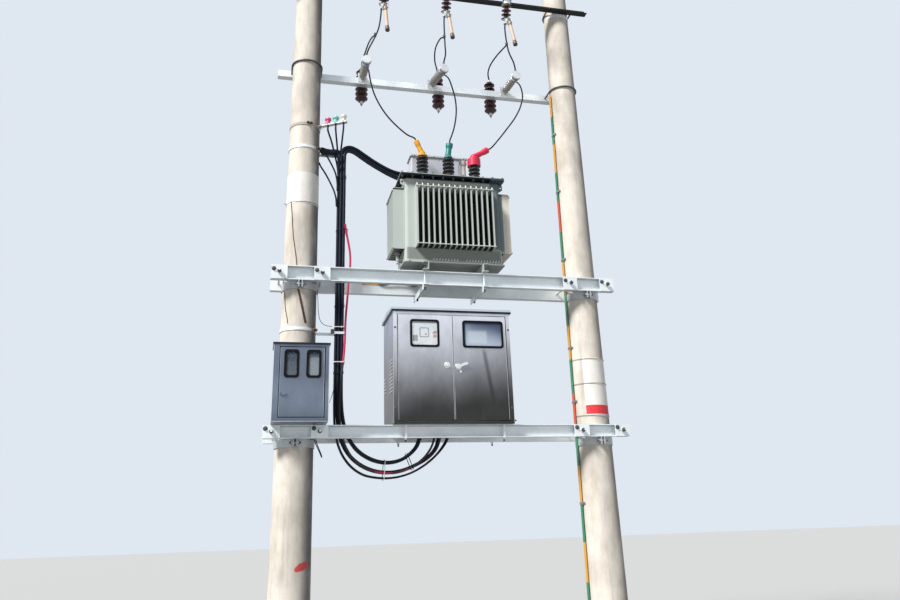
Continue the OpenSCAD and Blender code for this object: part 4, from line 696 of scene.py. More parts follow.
# the instruments glow a little, as painted light
paintedGlow = {"Emission Color": (0.86, 0.93, 1), "Emission Strength": 0.46}
finishes = {
    "concrete": simple("concreteFinish", concreteLook),
    "markedConcrete": simple("markedConcreteFinish", markedConcreteLook),
    "zinc": simple("zincFinish", zincLook),
    # copies of the zinc darkened or lightened as a whole, as painted shade and painted light: half shade for
    # the hoops under the beams, light for the arrester crossarm and the saddles, deep shade for the fuse
    # crossarm
    "halfShadeZinc": simple("halfShadeZincFinish", zincLook, 0.55),
    "boltZinc": simple("boltZincFinish", zincLook, 0.12),
    "litZinc": simple("litZincFinish", zincLook, 1.08),
    "deepShadeZinc": simple("deepShadeZincFinish", zincLook, 0.036, extras={"Specular IOR Level": 0.1}),
    "enamel": simple("enamelFinish", enamelLook),
    "tank": simple("tankFinish", tankLook, extras={"Specular IOR Level": 0.1}),
    "fins": simple("finFinish", finLook),
    "stainless": simple("stainlessFinish", stainlessLook),
    "roofSteel": simple("roofSteelFinish", roofLook),
    "rightLeaf": simple("rightLeafFinish", rightLeafLook),
    "boxSteel": simple("boxSteelFinish", boxLook),
    "black": simple("blackRubberFinish", rubberLook, extras=dull),
    "cable": simple("cableFinish", rubberLook, (0.006, 0.010, 0.022), 0.42, extras=dull),
    "redCable": simple("redCableFinish", redCableLook),
    "paintedStrip": simple("paintedStripFinish", plasticLook, (0.80, 0.36, 0.03), 0.5),
    "bushing": simple("bushingFinish", shedLook, (0.030, 0.030, 0.036), 0.36),
    "yellowBoot": simple("yellowBootFinish", siliconeLook, (0.74, 0.33, 0.018)),
    "greenBoot": simple("greenBootFinish", siliconeLook, (0.008, 0.19, 0.18)),
    "redBoot": simple("redBootFinish", siliconeLook, (0.68, 0.016, 0.065)),
    "lvBox": simple("lvBoxFinish", enamelLook, (0.50, 0.52, 0.60), 0.35),
    "whitePlastic": simple("whitePlasticFinish", plasticLook, (0.78, 0.78, 0.76)),
    "greyPlastic": simple("greyPlasticFinish", plasticLook, (0.10, 0.11, 0.13)),
    "chrome": simple("chromeFinish", metalLook, (0.90, 0.90, 0.91), 0.2),
    "steel": simple("fastenerFinish", metalLook, (0.30, 0.31, 0.33), 0.34, 0.85),
    "brass": simple("brassFinish", metalLook, (0.56, 0.42, 0.22), 0.36, 0.8),
    "darkBrass": simple("darkBrassFinish", metalLook, (0.15, 0.11, 0.08), 0.4, 0.6),
    "porcelain": simple("porcelainFinish", porcelainLook),
    "display": simple("displayFinish", plasticLook, (0.05, 0.065, 0.06), 0.2),
    "instrument": simple("instrumentFinish", plasticLook, (0.82, 0.83, 0.82), extras=paintedGlow),
    "weld": simple("weldFinish", enamelLook, (0.58, 0.63, 0.60)),
    "litStitch": simple("litStitchFinish", enamelLook, (0.96, 0.98, 0.97), 0.2),
    "oldRust": simple("oldRustFinish", rustLook, 0.30),
    "sign": simple("signFinish", signLook),
    "castMetal": simple("castMetalFinish", metalLook, (0.12, 0.125, 0.13), 0.5, 0.5),
    "darkSteel": simple("darkSteelFinish", metalLook, (0.10, 0.10, 0.11), 0.38, 0.8),
    "pinkTape": simple("pinkTapeFinish", siliconeLook, (0.75, 0.10, 0.25)),
    "tealTape": simple("tealTapeFinish", siliconeLook, (0.18, 0.55, 0.50)),
    "orangePlastic": simple("orangePlasticFinish", plasticLook, (0.75, 0.20, 0.08)),
}


def splitFinish(name, first, second, maskOf, extras=None):
    f = Finish(name)
    return f.close(blendLooks(f, first(f), second(f), maskOf(f)), extras)


def paneFinish(name, front, low, high, clear, middle, patch=None):
    # the pane lies behind its black rubber strip, so the depth tells them apart; a painted reflection of the
    # sky lies on the glass, with a pale patch of painted reflection where one is given
    f = Finish(name)
    rubber = f.step(f.y, front - 0.0002, front - 0.0012)
    wave = f.noise(3.0, 4.0, 0.6)
    skyReflection = f.step(f.z - middle[1] + (wave - 0.5) * 0.08 + (f.x - middle[0]) * 0.28, -0.10, 0.11)
    colour = f.mix(low, high, skyReflection)
    if patch:
        left, right, foot, head = patch
        pale = f.between(f.x, left, right, 0.012) * f.between(f.z, foot, head, 0.014)
        colour = f.mix(colour, (0.62, 0.68, 0.76), pale * 0.5)
    glass = {"colour": colour, "rough": 0.05 + 0.12 * f.noise(6.0, 4.0, 0.6)}
    look = blendLooks(f, glass, rubberLook(f, (0.003, 0.003, 0.004)), rubber)
    return f.close(look, {"Alpha": clear + (1 - clear) * rubber, "Specular IOR Level": 0.14})


fuseFrame = {"hinge": (-0.285, 5.950), "lean": 20.0, "offset": 0.120}


def fuseCoordinates(f):
    y0, z0 = fuseFrame["hinge"]
    c, s = math.cos(math.radians(fuseFrame["lean"])), math.sin(math.radians(fuseFrame["lean"]))
    return (f.y - y0) * c + (f.z - z0) * s - fuseFrame["offset"], (f.z - z0) * c - (f.y - y0) * s


def fuseShedMask(f):
    out, along = fuseCoordinates(f)
    near = f.step(abs(out), 0.052, 0.050)
    high = f.between(along, 0.040, 0.2035)
    upper = f.between(along, 0.2365, 0.3305)
    return near * (high + upper)


def arresterShedMask(f):
    metal = f.between(f.z, 5.390, 5.434) + f.step(abs(f.z - 5.412), 0.1750, 0.1756)
    metal = metal + f.step(f.y, 0.190, 0.1885)
    return 1 - f.step(metal, 0.3, 0.6)


nodeFinishes = {
    "concrete": ["right_pole"],
    "markedConcrete": ["left_pole"],
    "halfShadeZinc": ["beam_hoops"],
    "zinc": ["transformer_beams", "cabinet_beams", "beam_clamps", "transformer_hold_downs",
             "cabinet_mounting_plate", "cabinet_hold_downs", "line_crossarm", "cable_brackets"],
    "boltZinc": ["crossarm_u_bolts"],
    "litZinc": ["arrester_crossarm"],
    "deepShadeZinc": ["fuse_crossarm"],
    "enamel": ["transformer_feet"],
    "tank": ["transformer_tank", "transformer_cover"],
    "fins": ["cooling_fins"],
    "stainless": ["cabinet_body", "cabinet_frame"],
    "rightLeaf": ["cabinet_door_right"],
    "roofSteel": ["cabinet_roof"],
    "boxSteel": ["meter_box_body", "meter_box_frame", "meter_box_door"],
    "bushing": ["hv_bushings"],
    "yellowBoot": ["yellow_boot"],
    "greenBoot": ["green_boot"],
    "redBoot": ["red_boot"],
    "lvBox": ["lv_terminal_box"],
    "whitePlastic": ["cover_fittings", "meter_box_meters"],
    "instrument": ["cabinet_instruments"],
    "black": ["cable_glands"],
    "chrome": ["cabinet_handle", "cabinet_louvres"],
    "porcelain": ["line_insulators"],
}


def dress(node, material):
    mesh = nodes[node].data
    mesh.materials.clear()
    mesh.materials.append(material)


for finishName, names in nodeFinishes.items():
    for node in names:
        dress(node, finishes[finishName])
# Panes: front face in Y, colour low and high, how far the glass covers what lies behind, where the sky ends
# on it, and a pale patch of light
# the sky colours and the pale patches are painted reflection
panes = {
    "cabinet_pane_left": (
        "leftPaneFinish", -0.250, (0.92, 0.96, 0.98), (0.72, 0.80, 0.88), 0.20, (1.00, 2.89)),
    "cabinet_pane_right": (
        "rightPaneFinish", -0.250, (0.42, 0.50, 0.63), (0.060, 0.085, 0.145), 0.92, (1.49, 2.85),
        (1.366, 1.525, 2.769, 2.873)),
    "meter_box_panes": (
        "boxPaneFinish", -0.4014, (0.17, 0.21, 0.26), (0.09, 0.12, 0.16), 0.46, (-0.06, 2.56),
        (0.055, 0.170, 2.450, 2.600))}
for node, settings in panes.items():
    dress(node, paneFinish(*settings))
dress("cabinet_door_left", splitFinish(
    "leftLeafFinish", stainlessLook, lambda f: metalLook(f, (0.72, 0.64, 0.50), 0.35, 0.3),
    lambda f: f.step(f.y, -0.2504, -0.2508)))
maroon = (0.032, 0.004, 0.008)
dress("fuse_bases", splitFinish("fuseBaseFinish", zincLook, lambda f: shedLook(f, maroon), fuseShedMask))
dress("arresters", splitFinish("arresterFinish", zincLook, lambda f: shedLook(f, maroon), arresterShedMask))
# the porcelain of the posts is darkened to three tenths of its colour, as painted shade
dress("post_insulators", splitFinish(
    "postFinish", lambda f: porcelainLook(f, 0.30), lambda f: metalLook(f, (0.80, 0.82, 0.84), 0.32, 0.5),
    lambda f: f.step(f.y, -0.094, -0.096) + f.step(f.y, 0.1135, 0.1145)))
dress("lv_bracket", splitFinish(
    "bracketFinish", zincLook, lambda f: metalLook(f, (0.42, 0.385, 0.34), 0.7, 0.0),
    lambda f: f.step(f.x, 0.142, 0.138)))
dress("lv_insulators", splitFinish(
    "spoolFinish", porcelainLook, lambda f: metalLook(f, (0.6, 0.62, 0.64), 0.35, 0.8),
    lambda f: f.step(f.z, 4.8130, 4.8136)))
# Earth strip: green and yellow stripes, every third yellow one red
stripe = {"pitch": 0.30, "green": (0.03, 0.21, 0.10), "yellow": (0.66, 0.33, 0.03), "red": (0.60, 0.09, 0.03)}


def stripFinish(name):
    f = Finish(name)
    wear = f.noise(30.0, 5.0, 0.7)
    turn = f.step((f.z % (2 * stripe["pitch"])) / stripe["pitch"], 0.99, 1.01)
    paint = f.mix(stripe["green"], stripe["yellow"], turn)
    paint = f.mix(paint, stripe["red"], turn * (f.z % (6 * stripe["pitch"]) < stripe["pitch"] * 2))
    coat = {"colour": f.shade(paint, wear * 0.3 + 0.82), "rough": 0.5, "height": wear * 0.3, "deep": 0.0003}
    return f.close(blendLooks(f, coat, zincLook(f), f.step(wear, 0.66, 0.70)))


dress("earth_strip", stripFinish("stripFinish"))


# A dropped tube: brass hinge at its top, tan tube, dark cap at its end
tubeLook = {"turn": 160, "tan": (0.56, 0.42, 0.33), "hinge": (0.30, 0.25, 0.20), "hingeTo": 0.0505,
            "cap": (0.055, 0.045, 0.04), "capFrom": 0.336}


def tubeFinish(name):
    f = Finish(name)
    k = tubeLook
    y0, z0 = fuseFrame["hinge"]
    c, s = math.cos(math.radians(k["turn"])), math.sin(math.radians(k["turn"]))
    along = (f.z - z0) * c - (f.y - y0) * s
    tube, hinge = plasticLook(f, k["tan"], 0.5), metalLook(f, k["hinge"], 0.36, 0.7)
    look = blendLooks(f, tube, hinge, f.step(along, k["hingeTo"] + 0.0005, k["hingeTo"] - 0.0005))
    capped = f.step(along, k["capFrom"] - 0.0005, k["capFrom"] + 0.0005)
    return f.close(blendLooks(f, look, metalLook(f, k["cap"], 0.45, 0.3), capped))


tubeMaterial = tubeFinish("fuseTubeFinish")
for side in ("left", "middle", "right"):
    dress("fuse_tube_" + side, tubeMaterial)
for kind in cables:
    for piece in cables[kind]:
        piece.data.materials.append(finishes["redCable" if piece.name == "redLeadCable" else "cable"])
print("finishes:", len(bpy.data.materials))


# Small parts: bolts, welds, ties and trim that the solids leave out, in millimetres
sides = (-1, 1)
poles = {"xs": (0, 2500), "foot": 161.5, "taper": 0.00665}


def boxOf(node):
    # low and high corner of a solid of the part, to a hundredth
    corners = nodes[node].bound_box
    return [[round(pick(corner[k] for corner in corners) / mm, 2) for k in range(3)] for pick in (min, max)]


def axes(spot, along=(0, 0, 1), near=(1, 0, 0)):
    # frame at a spot, its Z along one way and its X as near as can be to another
    z = Vector(along).normalized()
    y = z.cross(Vector(near)).normalized()
    return Matrix.Translation(Vector(spot)) @ Matrix((y.cross(z), y, z)).transposed().to_4x4()


def faceOn(x, y, z):
    # frame on a face that looks to the front: X to the right, Y up, Z out of the face
    return axes((x, y, z), (0, -1, 0), (1, 0, 0))


def poleRadius(z):
    return poles["foot"] - poles["taper"] * z


def aroundPole(x, angle, z, off=0.0):
    turn = math.radians(angle)
    r = poleRadius(z) + off
    return Vector((x + r * math.cos(turn), r * math.sin(turn), z))


def circle(radius, count):
    turns = [math.tau * k / count for k in range(count)]
    return [(radius * math.cos(turn), radius * math.sin(turn)) for turn in turns]


def roundedLoop(halfX, halfY, corner, steps=4):
    # anticlockwise outline of a rectangle with round corners
    loop = []
    for k, (sx, sy) in enumerate(((1, 1), (-1, 1), (-1, -1), (1, -1))):
        x, y = sx * (halfX - corner), sy * (halfY - corner)
        for i in range(steps + 1):
            a = math.radians(90 * k + 90 * i / steps)
            loop.append((x + corner * math.cos(a), y + corner * math.sin(a)))
    return loop


def inset(outline, by):
    moved = []
    for i, corner in enumerate(outline):
        a, b, c = Vector(outline[i - 1]), Vector(corner), Vector(outline[(i + 1) % len(outline)])
        first, second = (b - a).normalized(), (c - b).normalized()
        n1, n2 = Vector((-first.y, first.x)), Vector((-second.y, second.x))
        moved.append(b + (n1 + n2) * (by / max(0.4, 1 + n1.dot(n2))))
    return moved


# A nut on its washer: heights and radii as shares of the bolt's diameter; ridges of a thread in millimetres
nutForm = {"washer": 0.16, "washerEdge": 1.04, "washerHalf": 1.12, "high": 0.72, "half": 0.90, "foot": 0.80,
           "head": 0.76, "chamfer": (0.09, 0.10), "dome": (0.70, 0.62, 0.03)}
threadForm = {"pitch": 2.6, "root": 0.1, "crest": 0.9}


class Shape:
    def __init__(self):
        self.mesh = bmesh.new()
        self.paint = 0

    def ring(self, frame, points):
        return [self.mesh.verts.new((frame @ Vector(p)) * mm) for p in points]

    def face(self, corners):
        self.mesh.faces.new(corners).material_index = self.paint

    def skin(self, rings, closed=False):
        ahead = rings[1:] + rings[:1] if closed else rings[1:]
        for a, b in zip(rings, ahead):
            for i in range(len(a)):
                j = (i + 1) % len(a)
                self.face((a[i], a[j], b[j], b[i]))
        if not closed:
            self.face(rings[0][::-1])
            self.face(rings[-1])

    def turned(self, frame, profile, facets=20, closed=False):
        # solid of revolution about Z: radius and height from foot to top, or a closed section
        ways = circle(1, facets)
        self.skin([self.ring(frame, [(r * c, r * s, h) for c, s in ways]) for r, h in profile], closed)

    def pressed(self, frame, outline, thick, edge=0.6, low=0.0):
        # plate with chamfered edges
        inner = inset(outline, edge)
        levels = ((inner, low), (outline, low + edge), (outline, low + thick - edge), (inner, low + thick))
        self.skin([self.ring(frame, [(x, y, z) for x, y in line]) for line, z in levels])

    def bent(self, points, radius, facets=8, closed=False):
        # round rod through the points, its radius one number or one for each point
        p = [Vector(q) for q in points]
        rings = []
        side = None
        for i, q in enumerate(p):
            before = p[i - 1] if i or closed else q
            after = p[(i + 1) % len(p)] if i < len(p) - 1 or closed else q
            along = (after - before).normalized()
            if side is None:
                side = Vector((0, 0, 1)) if abs(along.z) < 0.9 else Vector((1, 0, 0))
            side = (side - side.dot(along) * along).normalized()
            thick = radius[i] if isinstance(radius, list) else radius
            rings.append(self.ring(axes(q, along, side), [(a, b, 0) for a, b in circle(thick, facets)]))
        self.skin(rings, closed)

    def strap(self, frame, loop, wide, thick):
        # flat band round a closed loop in the frame's XY plane
        outer = inset(loop, -thick)
        half = wide / 2
        self.skin([self.ring(frame, [(*a, -half), (*b, -half), (*b, half), (*a, half)])
                   for a, b in zip(loop, outer)], True)

    def nut(self, spot, out, size, tail=0.0, washer=True):
        # hexagon on a washer, seated at spot and facing out, with a threaded end beyond it
        k = nutForm
        frame = axes(spot, out, (0, 0, 1) if abs(out[2]) < 0.9 else (1, 0, 0))
        low = k["washer"] * size if washer else 0.0
        edge, half = size * k["washerEdge"], size * k["washerHalf"]
        if washer:
            self.turned(frame, [(edge, 0.05), (half, 0.05 * size), (half, 0.12 * size), (edge, low)], 24)
        high = low + k["high"] * size
        under, over = (share * size for share in k["chamfer"])
        self.turned(frame, [(size * k["foot"], low), (size * k["half"], low + under),
                            (size * k["half"], high - over), (size * k["head"], high)], 6)
        wide, narrow, rise = (share * size for share in k["dome"])
        self.turned(frame, [(wide, high - 0.05), (narrow, high + rise)], 20)
        if tail:
            self.thread(frame, size / 2 - k["half"], high, high + tail)

    def thread(self, frame, radius, low, high):
        # ridges of a thread over a rod of that radius
        k = threadForm
        turns = max(2, round((high - low) / k["pitch"]))
        pitch = (high - low) / turns
        profile = [(radius + k["root"], low)]
        for i in range(turns):
            profile.append((radius + k["crest"], low + (i + 0.45) * pitch))
            profile.append((radius + k["root"], low + (i + 0.95) * pitch))
        self.turned(frame, profile + [(radius - 1, high + 0.9)], 16)


def place(shape, name, body, slotName, *looks):
    mesh = bpy.data.meshes.new(name)
    bmesh.ops.recalc_face_normals(shape.mesh, faces=shape.mesh.faces)
    shape.mesh.to_mesh(mesh)
    shape.mesh.free()
    mesh.shade_smooth()
    mesh.set_sharp_from_angle(angle=math.radians(34))
    for look in looks:
        mesh.materials.append(finishes[look])
    piece = bpy.data.objects.new(name, mesh)
    scene.collection.objects.link(piece)
    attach(piece, body)
    return piece


# Bolts through the rim of the tank and its cover
rimBolts = {"size": 12, "count": 11, "endCount": 4, "endReach": 141, "fromEdge": 14, "grip": 22, "tail": 9}


def makeRimBolts(k):
    shape = Shape()
    low, high = boxOf("transformer_cover")
    left, right, across = low[0] + k["fromEdge"], high[0] - k["fromEdge"], high[1] - k["fromEdge"]
    spots = []
    for i in range(k["count"]):
        x = left + (right - left) * i / (k["count"] - 1)
        spots += [(x, -across), (x, across)]
    for i in range(k["endCount"]):
        y = 2 * k["endReach"] * i / (k["endCount"] - 1) - k["endReach"]
        spots += [(left, y), (right, y)]
    for x, y in spots:
        shape.nut((x, y, high[2]), (0, 0, 1), k["size"])
        shape.nut((x, y, high[2] - k["grip"]), (0, 0, -1), k["size"], k["tail"])
    place(shape, "rimBolts", "station", "zinc", "darkSteel")


# Welds: beads over the pinched ends of the fins, tie rods across them and slanting stitches along the base;
# the stitches are painted near white as spots of painted sunlight
welds = {"finDeep": 98, "longBank": (15, 48), "shortBank": (7, 52), "bead": 5.0, "corner": 15, "rod": 5.0,
         "rodIn": (26, 9), "rodPast": 12, "litStitches": ((1106, 1334), (1396, 1692)), "pitch": 26, "slant": 5,
         "stitchAt": (3497, 3506, 3515), "wall": 201}


def makeWelds(k):
    shape = Shape()
    low, high = boxOf("cooling_fins")
    middle, foot, head = (low[0] + high[0]) / 2, low[2], high[2]
    banks = [((middle, s * (high[1] - k["finDeep"])), (0, s), *k["longBank"]) for s in sides]
    banks += [((middle + s * (high[0] - middle - k["finDeep"]), 0), (s, 0), *k["shortBank"]) for s in sides]
    for (cx, cy), (ox, oy), count, pitch in banks:
        def spot(along, out, z):
            return (cx + abs(oy) * along + ox * out, cy + abs(ox) * along + oy * out, z)
        for i in range(count):
            a = (i - (count - 1) / 2) * pitch
            # the feet of the end banks carry no bead
            for end, up in ((head, 1), (foot, -1))[:2 if abs(oy) else 1]:
                line = [spot(a, out, end + up) for out in (4, 30, 60, 84)]
                for t in (0.5, 1.0, math.pi / 2):
                    drop = k["corner"] * math.cos(t) - (k["corner"] - 1)
                    line.append(spot(a, 84 + k["corner"] * math.sin(t), end + up * drop))
                line.append(spot(a, k["finDeep"] + 1, end - up * 30))
                shape.bent(line, [k["bead"] * 0.7] + [k["bead"]] * 6 + [k["bead"] * 0.4], 6)
        reach, out = (count - 1) / 2 * pitch + k["rodPast"], k["finDeep"] + k["rod"]
        for z in (head - k["rodIn"][0], foot + k["rodIn"][1]):
            shape.bent([spot(-reach, out, z), spot(reach, out, z)], k["rod"], 8)
    # the stitches take the near-white finish, as painted sunlight
    shape.paint = 1
    below, level, above = k["stitchAt"]
    for left, right in k["litStitches"]:
        for i in range(int((right - left) / k["pitch"]) + 1):
            x = left + i * k["pitch"]
            for s in sides:
                line = [(x - s * k["slant"], s * k["wall"], above), (x, s * (k["wall"] + 2), level),
                        (x + s * k["slant"], s * k["wall"], below)]
                shape.bent(line, [2.4, 4.2, 2.4], 6)
    place(shape, "tankWelds", "station", "enamel", "weld", "litStitch")


# Beam clamps: how far the bolts lie from the axis of a pole, the outer face of the beams and the height;
# threads and lock nuts on them, and a second bolt beside each
clampTrim = {"bolts": ((171.7, 201.0, 3340), (180.1, 204.4, 2070)), "size": 20, "lockNut": 16.3,
             "threadFrom": 31, "ends": ((-1, 70), (1, 45)), "second": 16, "secondAt": (-44, 24)}
# Hoops under the beams: heights and threads. Studs of the hold-downs: x, y, foot and top of the thread,
# radius. U-bolts: height, half the gap, seat of the nut and which way they face, and their threads
boltTrim = {"hoops": (3250, 1990), "hoopBelow": 30, "hoopOut": (0.3, 8, 26), "hoopThread": (8.1, 30, 42.5),
            "studs": (((1030, 1550), 169.1, 3236, 3262, 8), ((1030, 1550), 169.1, 3419, 3440, 8),
                      ((847.9, 1651.7), 174.8, 1987, 2005, 6)),
            "uBolts": ((6274.5, 128.1, 139.3, -1), (9368.5, 107.6, 118.7, -1), (5388.5, 134.0, 145.2, 1)),
            "uThread": (8, 14)}


def makeClampTrim(k, m):
    shape = Shape()
    dx, dz = k["secondAt"]
    for boltX, face, z in k["bolts"]:
        for px in poles["xs"]:
            for s in sides:
                x = px + s * boltX
                for out, length in k["ends"]:
                    way = (0, out, 0)
                    shape.nut((x, out * (face + k["lockNut"]), z), way, k["size"], 0, False)
                    shape.thread(axes((x, 0, z), way, (0, 0, 1)), k["size"] / 2, face + k["threadFrom"],
                                 face + length - 1)
                    shape.nut((x + dx, out * face, z + dz), way, k["second"])
    for z in m["hoops"]:
        gap, rod, out = m["hoopOut"]
        reach = poleRadius(z - m["hoopBelow"]) + gap + rod + out
        for px in poles["xs"]:
            for s in sides:
                for way in sides:
                    shape.thread(axes((px, s * reach, z), (way, 0, 0), (0, 0, 1)), *m["hoopThread"])
    for xs, y, low, high, radius in m["studs"]:
        for x in xs:
            for s in sides:
                shape.thread(axes((x, s * y, 0)), radius, low, high)
    radius, length = m["uThread"]
    for z, half, seat, way in m["uBolts"]:
        for px in poles["xs"]:
            for s in sides:
                frame = axes((px + s * half, 0, z), (0, way, 0), (0, 0, 1))
                shape.thread(frame, radius, seat, seat + length)
    place(shape, "clampTrim", "station", "zinc", "darkSteel")


# Curved saddles between the fuse crossarm and the poles: heights, thickness and half their angle
armSaddles = {"low": 6208, "high": 6234, "thick": 5, "edge": 1, "half": 64, "steps": 24}


def makeArmSaddles(k):
    shape = Shape()
    low, high, thick, edge = k["low"], k["high"], k["thick"], k["edge"]
    section = ((low, 0.3), (low, thick - 0.7), (low + edge, thick), (high - edge, thick), (high, thick - 0.7),
               (high, 0.3))
    for px in poles["xs"]:
        rings = []
        for i in range(k["steps"] + 1):
            angle = -90 - k["half"] + 2 * k["half"] * i / k["steps"]
            rings.append([shape.mesh.verts.new(aroundPole(px, angle, z, off) * mm) for z, off in section])
        shape.skin(rings)
    # the saddles take the lightened zinc, as painted light
    place(shape, "armSaddles", "station", "zinc", "litZinc")


# Bolted ears of the bands round the left pole: height and angle of each pair
bandTrim = {"bands": ((4522, -38), (2888, -38), (4741, -78)), "off": 4.5, "apart": 8, "thick": 5,
            "ear": ((-3, -11), (28, -11), (34, -6), (34, 6), (28, 11), (-3, 11)), "boltOut": 19, "nutAt": 13,
            "size": 12, "spacer": 5.6,
            # a rusty wire twisted round the pole, and its loose end
            "wire": 2.2, "wireLow": 3998, "wireWave": 6, "tailAt": 188, "tailThick": 2.4,
            # bolted plate at the end of the lower cable bracket
            "plate": (276.4, -19.6, 2897), "plateHalf": (14.5, 20), "plateBolts": (-11, 11), "plateSize": 8}


def makeBandTrim(k):
    shape = Shape()
    for z, angle in k["bands"]:
        turn = math.radians(angle)
        out, side = Vector((math.cos(turn), math.sin(turn), 0)), Vector((-math.sin(turn), math.cos(turn), 0))
        middle = out * (poleRadius(z) + k["off"]) + Vector((0, 0, z))
        bolt = middle + out * k["boltOut"]
        for s in sides:
            frame = axes(middle + side * (s * k["apart"]), side * s, out)
            shape.pressed(frame, k["ear"], k["thick"], 0.8)
            shape.nut(bolt + side * (s * k["nutAt"]), side * s, k["size"], 6 if s > 0 else 0)
        shape.bent([bolt - side * k["nutAt"], bolt + side * k["nutAt"]], k["spacer"], 12)
    thick, low = k["wire"], k["wireLow"]
    ring = []
    for i in range(48):
        rise = k["wireWave"] * math.sin(math.tau * i / 48)
        ring.append(aroundPole(0, 360 * i / 48, low + rise, thick))
    shape.bent(ring, thick, 6, True)
    start = aroundPole(0, k["tailAt"], low + 4, 3)
    tail = [start + Vector((-9 * t + 5 * math.sin(7 * t), 4 * math.cos(7 * t), 3 * t))
            for t in (0, 0.4, 0.8, 1.2, 1.6, 2)]
    shape.bent(tail, k["tailThick"], 6)
    face = faceOn(*k["plate"])
    shape.paint = 1
    shape.pressed(face, roundedLoop(*k["plateHalf"], 3), k["thick"], 0.8)
    for dz in k["plateBolts"]:
        shape.nut(face @ Vector((0, dz, k["thick"])), (0, -1, 0), k["plateSize"], 5)
    place(shape, "bandTrim", "station", "zinc", "oldRust", "darkSteel")


# Plain bands wrapped round the poles, and the wires that tie the right one
poleSigns = {"left": {"x": 0, "heights": (3982, 4270), "angles": (-200, 25)},
             "right": {"x": 2500, "heights": (2196, 2694), "angles": (-128, 10)},
             "thick": 0.9, "wave": 0.7, "rows": 14, "steps": 40, "ties": (2204, 2474, 2686), "tie": 1.7}


def makePoleSign(name, k):
    shape = Shape()
    x, (low, high), (start, end) = k[name].values()
    rings = []
    for i in range(k["steps"] + 1):
        angle = start + (end - start) * i / k["steps"]
        line = []
        for j in range(k["rows"] + 1):
            z = low + (high - low) * j / k["rows"]
            wave = k["wave"] * (1 + math.sin(0.21 * angle + 2.1 * j) * math.sin(0.9 * j + 0.05 * angle))
            line.append(aroundPole(x, angle, z, k["thick"] + wave))
        line += [aroundPole(x, angle, high, 0.4), aroundPole(x, angle, low, 0.4)]
        rings.append(shape.ring(Matrix.Identity(4), line))
    shape.skin(rings)
    place(shape, name + "PoleSign", "station", "enamel", "sign")


def makeSignTies(k):
    shape = Shape()
    off = k["thick"] + 2 * k["wave"] + 3.2
    for z in k["ties"]:
        ring = []
        for i in range(48):
            angle = 7.5 * i
            ring.append(aroundPole(k["right"]["x"], angle, z + 2.5 * math.sin(math.radians(angle)), off))
        shape.bent(ring, k["tie"], 6, True)
    place(shape, "signTies", "station", "zinc", "oldRust")


# Cable ties: heights on the bundle, which of them are pale, and how much wider the bundle is at some of them
cableTies = {"heights": (4300, 3794, 3120, 2936, 2640, 2560), "pale": (2936, 2640), "middle": (333.0, 7.0),
             "half": (39.5, 33.5), "wider": {3794: (9, 9), 2640: (3, 9)}, "wide": 6, "thick": 2.2,
             "head": (351, -26.5),
             "tail": ((351, -34, 0), (358, -42, 1), (366, -47, 4), (371, -49, 10)),
             # a loose end on the bundle; ties round the loop: x, z, tilt and half their length across
             "loose": ((300, -21, 2440), (292, -27, 2408), (279, -30, 2360), (262, -31, 2312)),
             "paleLoop": (700, 1790, 4, 76), "darkLoop": (905, 1853, -22, 66)}


def makeCableTies(k):
    dark, pale = Shape(), Shape()
    (x, y), (halfX, halfY), (headX, headY) = k["middle"], k["half"], k["head"]
    for z in k["heights"]:
        shape = pale if z in k["pale"] else dark
        more, deeper = k["wider"].get(z, (0, 0))
        frame = axes((x + more, y - deeper, z), (0, 0.05, 1))
        shape.strap(frame, roundedLoop(halfX + more, halfY + deeper, 13), k["wide"], k["thick"])
        shape.pressed(faceOn(headX, headY - 2 * deeper, z), roundedLoop(6, 5, 1.5, 2), 7, 0.8)
        tail = [(tx, ty - 2 * deeper, z + rise) for tx, ty, rise in k["tail"]]
        shape.bent(tail, [2.0, 1.8, 1.5, 1.2], 6)
    dark.bent(k["loose"], [2.4, 2.6, 2.4, 1.6], 6)
    for shape, (x, z, tilt, half) in ((pale, k["paleLoop"]), (dark, k["darkLoop"])):
        way = (math.cos(math.radians(tilt)), 0, -math.sin(math.radians(tilt)))
        shape.strap(axes((x, -3, z), way, (0, 1, 0)), roundedLoop(52, half, 16), k["wide"], k["thick"])
    place(dark, "cableTies", "station", "cable", "black")
    place(pale, "paleCableTies", "station", "cable", "whitePlastic")


# Taped wrapping on the arm of the upper cable bracket: x, z and radius along it, and two straps
armWrap = {"line": ((136, 4546, 17), (150, 4552, 33), (185, 4546, 30), (225, 4544, 27), (265, 4545, 29),
                    (300, 4548, 27), (318, 4552, 15)),
           "y": 6, "rib": 0.9, "straps": (172, 286), "strapZ": 4546, "strapHalf": 31.5}


def makeArmWrap(k):
    shape = Shape()
    line, thick = [], []
    for (x0, z0, r0), (x1, z1, r1) in zip(k["line"], k["line"][1:]):
        for j in range(5):
            t = j / 5
            line.append((x0 + (x1 - x0) * t, k["y"], z0 + (z1 - z0) * t))
            thick.append(r0 + (r1 - r0) * t + (k["rib"] if j % 2 else 0))
    shape.bent(line, thick, 18)
    half = k["strapHalf"]
    for x in k["straps"]:
        frame = axes((x, k["y"], k["strapZ"]), (1, 0, 0), (0, 1, 0))
        shape.strap(frame, roundedLoop(half, half, 24), 7, 1.6)
    place(shape, "armWrap", "station", "cable", "cable")


# Painted tab of the earth lead on the back beam, with its bolts, and the gland of the red cable
earthTab = {"from": 536, "to": 690, "y": 139.9, "z": 3373, "thick": 4, "halfHigh": 13,
            "gland": (1104, -52, 2120),
            "glandRing": ((9.6, 0.2), (15, 0.2), (15, 8), (13, 9), (13, 20), (11, 24), (9.6, 24))}


